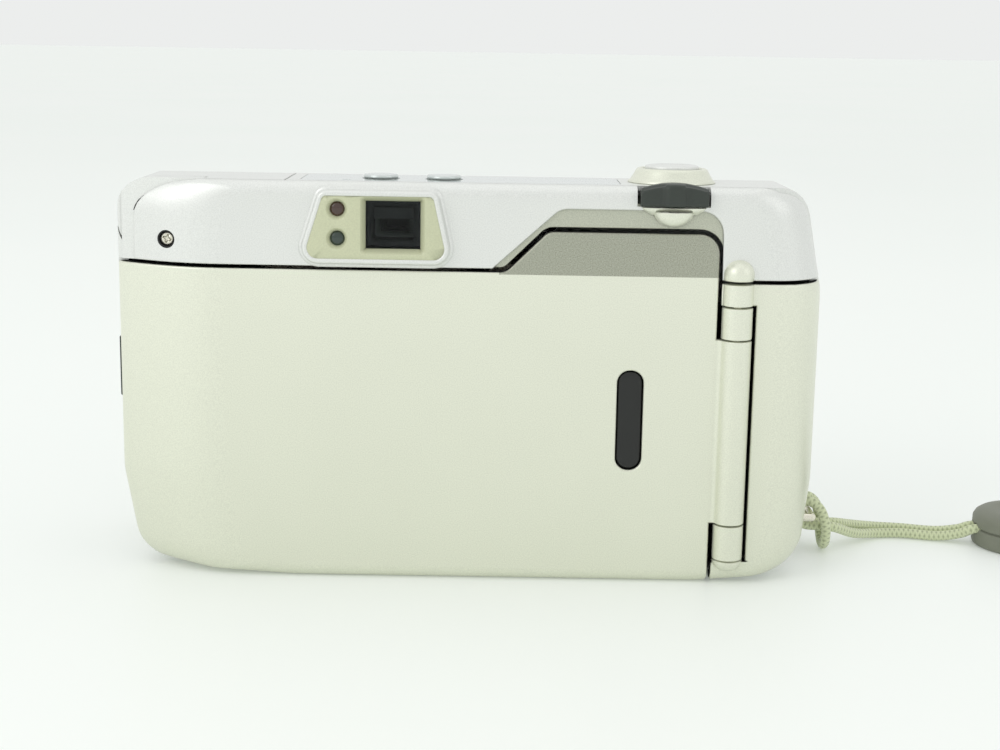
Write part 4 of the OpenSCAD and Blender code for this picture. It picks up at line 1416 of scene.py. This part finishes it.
    def lamps(self, face: float) -> None:
        """The two lamps: small domes at the bottom of their countersinks."""
        for node, slot in (("focus_lamp", "amber_lamp"), ("flash_lamp", "green_lamp")):
            x, _, z = centre_of(node)
            radius, tip, foot = 1.2, face + 0.75, face + 2.75
            profile = []
            for a in np.linspace(0, math.pi / 2, 9):
                profile.append((radius * math.sin(a), tip + 0.45 * (1 - math.cos(a))))
            mesh = turned([*profile, (radius, foot), (0, foot)], (x, 0, z), Axis.LENS, 32)
            lamp = finished(node.replace("lamp", "lens_dome"), mesh, "body", [self.finishes[slot]])
            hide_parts(node)


@dataclass
class TopControls:
    """The shutter ring and button, the zoom rocker and its housing."""

    body: Body
    finishes: Finishes

    def build(self) -> None:
        """Builds the controls."""
        self.shutter()
        self.rocker()
        self.rocker_housing()

    def shutter(self) -> None:
        """The flared ring and the button in it, with the slot between them."""
        x, y, _ = centre_of("shutter_ring")
        foot = box_of("shutter_ring")[0].z
        ring = [(4.95, 0.0), (7.35, 0.0), (7.4, 0.12), (6.95, 0.55), (6.45, 1.3), (6.15, 1.9), (5.95, 2.2)]
        ring += [(5.7, 2.36), (5.4, 2.4), (5.12, 2.3), (4.95, 2.05), (4.95, 0.0)]
        flare = turned([(r, foot + height) for r, height in ring], (x, y, 0), Axis.UP, 64)
        piece = finished("shutter_flare", flare, "body", [self.finishes["champagne_paint"]])
        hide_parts("shutter_ring")
        cap = box_of("shutter_button")[1].z
        crown = [(0, -0.35), (2.0, -0.3), (3.4, -0.12), (4.1, 0.0), (4.42, -0.08), (4.58, -0.3)]
        crown += [(4.6, -1.4), (1.5, -1.5)]
        button = [(r, cap + height) for r, height in crown] + [(1.5, foot - 4.9), (0, foot - 4.9)]
        shape = turned(button, (x, y, 0), Axis.UP, 64)
        key = finished("shutter_key", shape, "shutter_release", [self.finishes["silver_paint"]])
        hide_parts("shutter_button")

    def rocker(self) -> None:
        """The zoom rocker: an arched dark key with a raised rib between two wings."""
        x = centre_of("zoom_rocker")[0]
        r, z0, z1 = self.body.rear, self.body.top - 3.1, self.body.top + 0.7
        half = 5.55

        def arch(u: float) -> float:
            return z1 - 0.95 * (u / half) ** 2

        columns = [0.7, 1.45, 1.75, 2.2, 3.0, 4.0, 5.0, half - 0.12, half]
        rings = []
        for u in [*(-column for column in reversed(columns)), 0, *columns]:
            rib = abs(u) < 1.5
            slope = 1 if rib else max(0.0, 1 - (abs(u) - 1.45) / 0.35)
            front = r - 1.35 - 0.75 * slope - (0.0 if rib else 0.12 * (1 - abs(u) / half))
            squeeze = 0.16 if abs(u) > half - 0.06 else 0.0
            top, bottom = arch(u) - squeeze, z0 + squeeze
            ledge = 0.0 if rib or abs(u) > 5.1 else 0.22
            back = r + 1.9 - 1.6 * (abs(u) / half) ** 3
            ring = [
                (front + 0.28 + squeeze, bottom),
                (front + 0.06 + squeeze, bottom + 0.2),
                (front + squeeze, bottom + 0.5),
                (front + squeeze, top - 0.85),
                (front + 0.1 + squeeze, top - 0.5),
                (front + 0.32, top - 0.22 - ledge),
                (front + 0.7, top - 0.1 - ledge),
                (front + 0.95, top - 0.06 - ledge * 0.3),
                (front + 1.2, top),
                (back - 0.3, top),
                (back, top - 0.3),
                (back, bottom),
            ]
            rings.append([(x + u, py, pz) for py, pz in ring])
        key = rows(rings, capped=True)
        post = turned(bar_profile(0.8, z0 + 0.1, z0 - 2.1), (x, r + 1.8, 0), Axis.UP, 24)
        piece = finished("zoom_key", joined(key, post), "rocker", [self.finishes["dark_plastic"]])
        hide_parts("zoom_rocker")

    def rocker_housing(self) -> None:
        """The shelf below the rocker and the half dome under it."""
        x = centre_of("zoom_rocker")[0]
        r, z = self.body.rear, self.body.top - 3.25
        steps = 10
        shelf = []
        for k in range(steps + 1):
            t = k / steps
            width = 5.35 - 1.9 * t**1.6
            out = 1.25 * math.cos(t * math.pi / 2 * 0.92)
            ring = []
            for a in np.linspace(-math.pi / 2, math.pi / 2, 17):
                ring.append((x + width * math.sin(a), r + 0.23 - out * math.cos(a) ** 0.7, z - 1.35 * t))
            shelf.append(ring)
        dome = []
        for k in range(steps + 1):
            t = math.pi / 2 * k / steps
            radius, drop = 3.35 * math.cos(t) + 0.002, 2.75 * math.sin(t)
            ring = []
            for a in np.linspace(-math.pi / 2, math.pi / 2, 21):
                out = 0.62 * radius * math.cos(a)
                ring.append((x + radius * math.sin(a), r + 0.3 - out, z - 0.55 - drop))
            dome.append(ring)
        shape = joined(self.half_round(shelf), self.half_round(dome))
        piece = finished("rocker_housing", shape, "body", [self.finishes["champagne_paint"]])

    @staticmethod
    def half_round(rings: Sequence[Sequence[Point3]]) -> bmesh.types.BMesh:
        """A closed mesh of half rings, with its flat side filled."""
        mesh = rows(rings, closed=False)
        bmesh.ops.holes_fill(mesh, edges=[e for e in mesh.edges if e.is_boundary])
        bmesh.ops.recalc_face_normals(mesh, faces=mesh.faces)
        return mesh


# ---- Screws -----------------------------------------------------------------------------------------


class Scatter:
    """A geometry-nodes tree that puts one shape on each point of a mesh and gives it a material."""

    def __init__(self, name: str) -> None:
        """Builds the tree with its inputs."""
        self.tree = bpy.data.node_groups.new(name, "GeometryNodeTree")
        self.socket("Geometry", "NodeSocketGeometry")
        self.shape = self.socket("Shape", "NodeSocketObject")
        self.scale = self.socket("Size", "NodeSocketFloat")
        self.finish = self.socket("Finish", "NodeSocketMaterial")
        self.socket("Geometry", "NodeSocketGeometry", "OUTPUT")
        nodes, links = self.tree.nodes, self.tree.links
        start, end = nodes.new("NodeGroupInput"), nodes.new("NodeGroupOutput")
        info = nodes.new("GeometryNodeObjectInfo")
        spread = nodes.new("GeometryNodeInstanceOnPoints")
        turn = nodes.new("GeometryNodeInputNamedAttribute")
        turn.data_type = "FLOAT_VECTOR"
        turn.inputs["Name"].default_value = "turn"
        solid = nodes.new("GeometryNodeRealizeInstances")
        paint = nodes.new("GeometryNodeSetMaterial")
        links.new(start.outputs[0], spread.inputs["Points"])
        links.new(start.outputs[1], info.inputs["Object"])
        links.new(info.outputs["Geometry"], spread.inputs["Instance"])
        links.new(start.outputs[2], spread.inputs["Scale"])
        links.new(turn.outputs[0], spread.inputs["Rotation"])
        links.new(spread.outputs[0], solid.inputs[0])
        links.new(solid.outputs[0], paint.inputs["Geometry"])
        links.new(start.outputs[3], paint.inputs["Material"])
        links.new(paint.outputs[0], end.inputs[0])

    def socket(self, name: str, kind: str, way: str = "INPUT") -> str:
        """Adds an input or output to the tree and gives its identifier."""
        return self.tree.interface.new_socket(name, in_out=way, socket_type=kind).identifier

    def place(
        self,
        name: str,
        shape: bmesh.types.BMesh,
        places: Sequence[tuple[Point3, Point3]],
        body: str,
        material: bpy.types.Material,
        size: float = 1.0,
    ) -> bpy.types.Object:
        """Repeats a shape at places, as one plain mesh.

        Args:
            name: the piece's name.
            shape: the shape in millimetres about the origin.
            places: (point in millimetres, Euler turn in radians) for each copy.
            body: the CAD body that it moves with.
            material: its material.
            size: scale of each copy.

        Returns:
            The object.
        """
        bmesh.ops.scale(shape, vec=(MM, MM, MM), verts=shape.verts)
        seed = linked("seed", shape)
        seed.data.polygons.foreach_set("use_smooth", [True] * len(seed.data.polygons))
        points = bpy.data.meshes.new(name)
        points.from_pydata([tuple(c * MM for c in p) for p, _ in places], [], [])
        turns = points.attributes.new("turn", "FLOAT_VECTOR", "POINT")
        turns.data.foreach_set("vector", [c for _, t in places for c in t])
        piece = bpy.data.objects.new(name, points)
        bpy.context.scene.collection.objects.link(piece)
        modifier = piece.modifiers.new("scatter", "NODES")
        modifier.node_group = self.tree
        modifier[self.shape] = seed
        modifier[self.scale] = size
        modifier[self.finish] = material
        baked(piece)
        bpy.data.objects.remove(seed)
        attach(piece, body)
        LOG.info("%s on %s, %d copies", name, body, len(places))
        return piece


@dataclass
class Fasteners:
    """The cross-head screws, and the dark cup of the one on the back.

    Attributes:
        body: the camera's outer shape.
        finishes: the finishes.
        scatter: what repeats the screw.
        base_spots: places of the screws in the base, as x and y.
        base_z: height of those screws' seats.
    """

    body: Body
    finishes: Finishes
    scatter: Scatter
    base_spots: tuple[Point, ...] = ((-40, 4), (-24, 13), (36, 12))
    base_z: float = 0.85

    def head(self) -> bmesh.types.BMesh:
        """A screw about the origin, facing -Y, with a cross recess."""
        crown = [(0, -0.3), (0.9, -0.27), (1.12, -0.12), (1.2, 0.05), (1.2, 0.3)]
        shank = [(0.8, 0.4), (0.8, 2.4), (0, 2.4)]
        tool = linked("head", turned([*crown, *shank], (0, 0, 0), Axis.LENS, 32))
        for x, z in ((0.72, 0.17), (0.17, 0.72)):
            arm = linked("arm", box_mesh((-x, x), (-1, 0.12), (-z, z)))
            modifier = tool.modifiers.new("cut", "BOOLEAN")
            modifier.object = arm
            baked(tool)
            bpy.data.objects.remove(arm)
        mesh = bmesh.new()
        mesh.from_mesh(tool.data)
        bpy.data.objects.remove(tool)
        return mesh

    def build(self, back_screw: Point) -> None:
        """Puts the screws in place: one faces back, three face down."""
        b = self.body
        steel = self.finishes["plated_steel"]
        down = (math.pi / 2, 0.0, 0.0)
        spots = [((x, y, self.base_z), down) for x, y in self.base_spots]
        spots.append(((back_screw[0], b.rear + 3.05, back_screw[1]), (0.0, 0.35, 0.0)))
        screws = self.scatter.place("cover_screw_heads", self.head(), spots, "body", steel)
        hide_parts("cover_screws")
        x, z = back_screw
        cup = [(1.25, 2.35), (1.5, 2.35), (1.5, 3.35), (0, 3.35), (0, 3.2), (1.3, 3.2), (1.25, 2.35)]
        mesh = turned([(r, b.rear + depth) for r, depth in cup], (x, 0, z), Axis.LENS, 32)
        finished("screw_cup", mesh, "body", [self.finishes["black_plastic"]])


# ---- Strap ----------------------------------------------------------------------------------------


def smooth_path(points: Sequence[Point3], step: float) -> list[Vector]:
    """An even run of points on a smooth curve through a route.

    Args:
        points: the route.
        step: distance between the points that are returned.

    Returns:
        The points.
    """
    p = [Vector(q) for q in points]
    dense = [p[0]]
    for i in range(len(p) - 1):
        a, b, c, d = p[max(i - 1, 0)], p[i], p[i + 1], p[min(i + 2, len(p) - 1)]
        square, cube = 2 * a - 5 * b + 4 * c - d, 3 * b - a - 3 * c + d
        for k in range(1, 13):
            t = k / 12
            dense.append(0.5 * (2 * b + (c - a) * t + square * t * t + cube * t**3))
    lengths = [0.0]
    for a, b in zip(dense, dense[1:]):
        lengths.append(lengths[-1] + (b - a).length)
    count = max(int(lengths[-1] / step), 2)
    even, i = [], 0
    for k in range(count + 1):
        want = lengths[-1] * k / count
        while i < len(lengths) - 2 and lengths[i + 1] < want:
            i += 1
        t = (want - lengths[i]) / max(lengths[i + 1] - lengths[i], 1e-9)
        even.append(dense[i].lerp(dense[i + 1], min(t, 1.0)))
    return even


@dataclass
class Strap:
    """The wrist strap: one braided cord from the eye through a hitch and a slider, and back.

    Attributes:
        finishes: the finishes.
        diameter: thickness of the cord.
        hank_x: where the hank's two bends start.
        hank_y: the hank's middle line.
        hank_z: heights at which the cord enters and leaves the hank.
        hank_radius: radius of its bends.
        laps: turns of cord in the hank.
        tie_width: width of the band that holds the hank.
        bore_radius: radius of the slider's two bores.
        bore_z: height of those bores.
        weave: units of the braid's map for each millimetre of cord.
    """

    finishes: Finishes
    diameter: float = 1.8
    hank_x: Point = (131.0, 153.0)
    hank_y: float = 6.5
    hank_z: Point = (6.05, 0.95)
    hank_radius: float = 5.0
    laps: float = 2.5
    tie_width: float = 3.2
    bore_radius: float = 1.06
    bore_z: float = 3.2
    weave: float = 1.15

    def route(self) -> list[Point3]:
        """The cord's points from the eye to the slider, round the hank and back to the eye."""
        out = [
            (67.6, 0.5, 7.2), (67.9, 0.3, 8.6), (69.4, -0.4, 9.5), (71.3, -1.2, 8.2), (72.3, -1.7, 5.4),
            (72.5, -0.9, 2.4), (72.5, 1.5, 1.0), (72.5, 3.9, 2.4), (72.3, 4.7, 5.4), (71.3, 4.2, 8.2),
            (69.4, 3.4, 9.5), (67.9, 2.7, 8.6), (67.6, 2.5, 7.0), (67.9, 2.45, 5.5), (69.4, 2.45, 4.8),
            (72.4, 2.45, 4.7), (75, 3.7, 4.4), (79, 7.5, 3.0), (84, 10.9, 1.7), (89, 11.2, 1.4),
            (95, 9.7, 1.4), (99, 8.4, 2.2), (102, 7.6, 3.2), (111, 7.6, 3.2), (120, 7.6, 3.2),
            (123, 9, 4.6), (126, 10.8, 5.8),
        ]
        back = [
            (126, 2.6, 1.0), (123, 4.2, 1.8), (120, 5.4, 3.2), (111, 5.4, 3.2), (102, 5.4, 3.2),
            (99, 6.4, 1.9), (95, 7.8, 0.95), (89, 9.3, 0.95), (84, 9.0, 0.95), (79, 5.2, 2.0),
            (75, 1.6, 4.0), (72.4, 0.55, 4.7), (69.4, 0.55, 4.8), (67.9, 0.55, 5.5), (67.6, 0.55, 6.8),
        ]
        return [*out, *self.winding(), *back]

    def winding(self) -> list[Point3]:
        """The turns of the hank, from its far run down to its near run."""
        x0, x1 = self.hank_x
        start_z, end_z = self.hank_z
        r, straight = self.hank_radius, x1 - x0
        lap = 2 * straight + 2 * math.pi * r
        total = lap * (self.laps - 0.5) + straight * 2 + math.pi * r
        count = int(total / 3.0)
        points = []
        for k in range(count + 1):
            s = total * k / count
            z = start_z + (end_z - start_z) * k / count
            u = s % lap
            if u < straight:
                x, y = x0 + u, self.hank_y + r
            elif u < straight + math.pi * r:
                a = (u - straight) / r
                x, y = x1 + r * math.sin(a), self.hank_y + r * math.cos(a)
            elif u < 2 * straight + math.pi * r:
                x, y = x1 - (u - straight - math.pi * r), self.hank_y - r
            else:
                a = (u - 2 * straight - math.pi * r) / r
                x, y = x0 - r * math.sin(a), self.hank_y - r * math.cos(a)
            points.append((x, y, z))
        return points

    def build(self) -> None:
        """Builds the cord, the slider and the hank's tie."""
        slider = self.slider()
        tie = self.tie()
        path = smooth_path(self.route(), 0.55)
        piece = self.tube(path)
        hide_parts("strap_cord", "strap_hank")

    def tube(self, path: Sequence[Vector], sides: int = 12) -> bpy.types.Object:
        """A tube along a path, with a UV map that runs along and round it."""
        mesh = bmesh.new()
        layer = mesh.loops.layers.uv.new("UVMap")
        last = len(path) - 1
        tangents = [(path[min(i + 1, last)] - path[max(i - 1, 0)]).normalized() for i in range(len(path))]
        normal = tangents[0].cross(Vector((0, 1, 0))).normalized()
        rings, along, run = [], [], 0.0
        for i, (p, t) in enumerate(zip(path, tangents)):
            normal = (normal - t * normal.dot(t)).normalized()
            side = t.cross(normal)
            ring = []
            for k in range(sides):
                a = 2 * math.pi * k / sides
                way = normal * math.cos(a) + side * math.sin(a)
                ring.append(mesh.verts.new(p + way * (self.diameter / 2)))
            rings.append(ring)
            along.append(run)
            if i < last:
                run += (path[i + 1] - p).length
        for i, (a, b) in enumerate(zip(rings, rings[1:])):
            for k in range(sides):
                j = (k + 1) % sides
                face = mesh.faces.new([a[k], a[j], b[j], b[k]])
                values = [(along[i], k), (along[i], k + 1), (along[i + 1], k + 1), (along[i + 1], k)]
                for loop, (u, v) in zip(face.loops, values):
                    loop[layer].uv = (u * self.weave, v / sides)
        mesh.faces.new(rings[0][::-1])
        mesh.faces.new(rings[-1])
        mesh.normal_update()
        mesh.faces.ensure_lookup_table()
        first = mesh.faces[0]
        if first.normal.dot(first.calc_center_median() - path[0]) < 0:
            bmesh.ops.reverse_faces(mesh, faces=mesh.faces)
        return finished("wrist_cord", mesh, "body", [self.finishes["strap_fabric"]], weighted=False)

    def slider(self) -> bpy.types.Object:
        """The slider: a round two-part moulding with a groove at mid height."""
        low, high = box_of("strap_slider")
        x, y, _ = centre_of("strap_slider")
        r, top = (high.x - low.x) / 2, high.z
        lower = [(0, 0), (r - 0.6, 0), (r - 0.15, 0.2), (r, 0.7), (r, 3.0), (r - 0.1, 3.12)]
        groove = [(r - 0.45, 3.2), (r - 0.45, 3.45), (r - 0.1, 3.53)]
        upper = [(r, 3.65), (r - 0.05, 5.0), (r - 0.45, 5.7), (r - 1.2, 6.2), (r - 2.4, 6.48)]
        crown = [(r - 3.6, top), (r - 4.2, top - 0.18), (0, top - 0.24)]
        disc = turned([*lower, *groove, *upper, *crown], (x, y, 0), Axis.UP, 72)
        piece = finished("strap_slider_disc", disc, "body", [self.finishes["slider_plastic"]])
        bores = []
        for side in (-1.1, 1.1):
            bore = circle(y + side, self.bore_z, self.bore_radius, 24)
            bores.append(rows([[(px, py, pz) for py, pz in bore] for px in (x - 20, x + 20)], capped=True))
        carve(piece, *bores)
        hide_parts("strap_slider")
        return piece

    def tie(self) -> bpy.types.Object:
        """The band that holds the hank together at its middle."""
        middle = sum(self.hank_x) / 2
        half = self.hank_radius + self.diameter / 2
        outer = rectangle((self.hank_y - half - 0.25, self.hank_y + half + 0.25), (0.01, 7.2), 1.0)
        inner = inset(outer, 0.35)
        left, right = middle - self.tie_width / 2, middle + self.tie_width / 2
        rings = []
        for x, shape in ((left, inner), (left, outer), (right, outer), (right, inner), (left, inner)):
            rings.append([(x, y, z) for y, z in rounded(shape, 5)])
        dark = [self.finishes["dark_plastic"]]
        piece = finished("hank_tie", rows(rings), "body", dark, weighted=False, bevel=0.08)
        return piece


# ---- Carried-over parts -----------------------------------------------------------------------------


@dataclass
class Carried:
    """CAD nodes that keep their shape: some as they are, the visible ones with softened edges."""

    finishes: Finishes

    SOFTENED = {
        "front_cover": 0.3, "flash_head": 0.3, "top_panel": 0.12, "mode_button": 0.25,
        "timer_button": 0.25, "lens_bezel": 0.35, "lens_barrel_1": 0.3, "lens_barrel_2": 0.3,
        "lens_barrel_3": 0.3, "barrier_upper": 0.1, "barrier_lower": 0.1, "front_window": 0.15,
        "timer_lamp": 0.3, "battery_door": 0.2, "tripod_bush": 0.2, "strap_lug": 0.12,
        "door_latch": 0.2, "chassis": 0.12, "pressure_plate": 0.15, "plate_spring": 0.05,
        "battery": 0.4, "battery_holder": 0.15, "flash_window": 0.15, "flash_reflector": 0.1,
        "take_up_spool": 0.1, "zoom_motor": 0.3, "spool_motor": 0.3, "flash_capacitor": 0.5,
        "main_board": 0.1, "rewind_fork": 0.08,
    }
    OTHER = {"top_panel": "panel_paint", "mode_button": "panel_paint", "timer_button": "panel_paint"}

    def build(self) -> None:
        """Dresses every CAD node that nothing else stands for."""
        record = frame["record"]
        slots = {row["node"]: row["material_slot"] for row in record["subparts"]}
        for node, piece in frame["nodes"].items():
            if piece.hide_render:
                continue
            material = self.finishes[self.OTHER.get(node, slots[node])]
            if node in self.SOFTENED:
                self.soften(node, piece, material)
            else:
                piece.data.materials.clear()
                piece.data.materials.append(material)

    def soften(self, node: str, source: bpy.types.Object, material: bpy.types.Material) -> None:
        """Replaces a node by a merged copy with bevelled edges."""
        mesh = bmesh.new()
        mesh.from_mesh(source.data)
        bmesh.ops.remove_doubles(mesh, verts=mesh.verts, dist=2e-6)
        bmesh.ops.dissolve_limit(mesh, angle_limit=math.radians(1.2), verts=mesh.verts, edges=mesh.edges)
        bmesh.ops.scale(mesh, vec=(1 / MM,) * 3, verts=mesh.verts)
        bevel = self.SOFTENED[node]
        piece = finished(f"{node}_dressed", mesh, source["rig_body"], [material], bevel=bevel)
        piece.modifiers["edges"].segments = 2
        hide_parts(node)


# ---- Stage ------------------------------------------------------------------------------------------


@dataclass
class Studio:
    """The camera that looks, the lights and the white table.

    Attributes:
        eye: place of the camera.
        pitch: how far it looks down, in degrees.
        roll: its tilt, in radians.
        focal: its focal length.
        table_reach: half the table's side, in metres.
        table_drop: how far the table lies below the camera's base, in metres.
    """

    eye: Point3 = (13.06, -290.0, 88.86)
    pitch: float = 11.146
    roll: float = 0.0165
    focal: float = 59.58
    table_reach: float = 40.0
    table_drop: float = 0.00002

    def camera(self) -> None:
        """Makes the camera behind the object, a little above it."""
        data = bpy.data.cameras.new("eye")
        data.sensor_width = 36.0
        data.lens = self.focal
        data.clip_start = 0.01
        data.clip_end = 100.0
        eye = bpy.data.objects.new("eye", data)
        bpy.context.scene.collection.objects.link(eye)
        p, r = math.radians(self.pitch), self.roll
        ahead = Vector((0, math.cos(p), -math.sin(p)))
        up = Vector((0, math.sin(p), math.cos(p)))
        side = Vector((1, 0, 0))
        right = side * math.cos(r) + up * math.sin(r)
        above = up * math.cos(r) - side * math.sin(r)
        turn = Matrix((right, above, -ahead)).transposed().to_4x4()
        eye.matrix_world = Matrix.Translation(Vector(self.eye) * MM) @ turn
        bpy.context.scene.camera = eye

    def light(self, name: str, place: Point3, target: Point3, size: float, power: float) -> None:
        """Makes a soft square light that faces a point, both in metres."""
        data = bpy.data.lights.new(name, "AREA")
        data.size = size
        data.energy = power
        lamp = bpy.data.objects.new(name, data)
        bpy.context.scene.collection.objects.link(lamp)
        lamp.location = place
        lamp.rotation_mode = "QUATERNION"
        lamp.rotation_quaternion = (Vector(target) - Vector(place)).to_track_quat("-Z", "Y")

    def build(self) -> None:
        """Makes the table, the lights and the surrounding white."""
        mesh = bmesh.new()
        bmesh.ops.create_grid(mesh, x_segments=2, y_segments=2, size=self.table_reach)
        for v in mesh.verts:
            v.co.z = -self.table_drop
        table = linked("table", mesh)
        material, tree, shader = tree_of("table_white")
        shader.inputs["Roughness"].default_value = 0.45
        cloud = noise(tree, 3.0, 2.0)
        stops = [(0.3, (0.73, 0.75, 0.735)), (0.7, (0.75, 0.765, 0.75))]
        tree.links.new(ramp(tree, cloud.outputs["Fac"], stops), shader.inputs["Base Color"])
        shader.inputs["Emission Color"].default_value = (0.94, 1.0, 0.93, 1)
        shader.inputs["Emission Strength"].default_value = 0.19
        table.data.materials.append(material)
        world = bpy.data.worlds.new("studio")
        world.use_nodes = True
        sky = world.node_tree.nodes["Background"]
        sky.inputs["Color"].default_value = (0.955, 0.97, 0.96, 1)
        sky.inputs["Strength"].default_value = 0.88
        bpy.context.scene.world = world
        self.light("top", (0.0, 0.1, 0.75), (0.0, 0.0, 0.03), 0.9, 0.55)
        self.light("left", (-0.55, -0.45, 0.45), (-0.03, -0.02, 0.03), 0.5, 1.3)
        self.light("right", (0.6, -0.35, 0.35), (0.02, -0.02, 0.03), 0.4, 0.25)
        view = bpy.context.scene.view_settings
        view.view_transform = "Standard"
        view.look = "None"


def main() -> None:
    """Builds the camera's looks in order."""
    logging.basicConfig(level=logging.INFO, format="%(name)s: %(message)s")
    studio = Studio()
    studio.camera()
    finishes = Finishes()
    Strap(finishes).build()
    body = Body.from_frame()
    skin = Skin(body)
    back = BackCovers(body, skin, finishes)
    back.build()
    Hinge(body, finishes).build()
    Finder(body, finishes).build()
    TopControls(body, finishes).build()
    Fasteners(body, finishes, Scatter("scatter")).build(back.screw)
    Carried(finishes).build()
    studio.build()


if __name__ == "__main__":
    main()
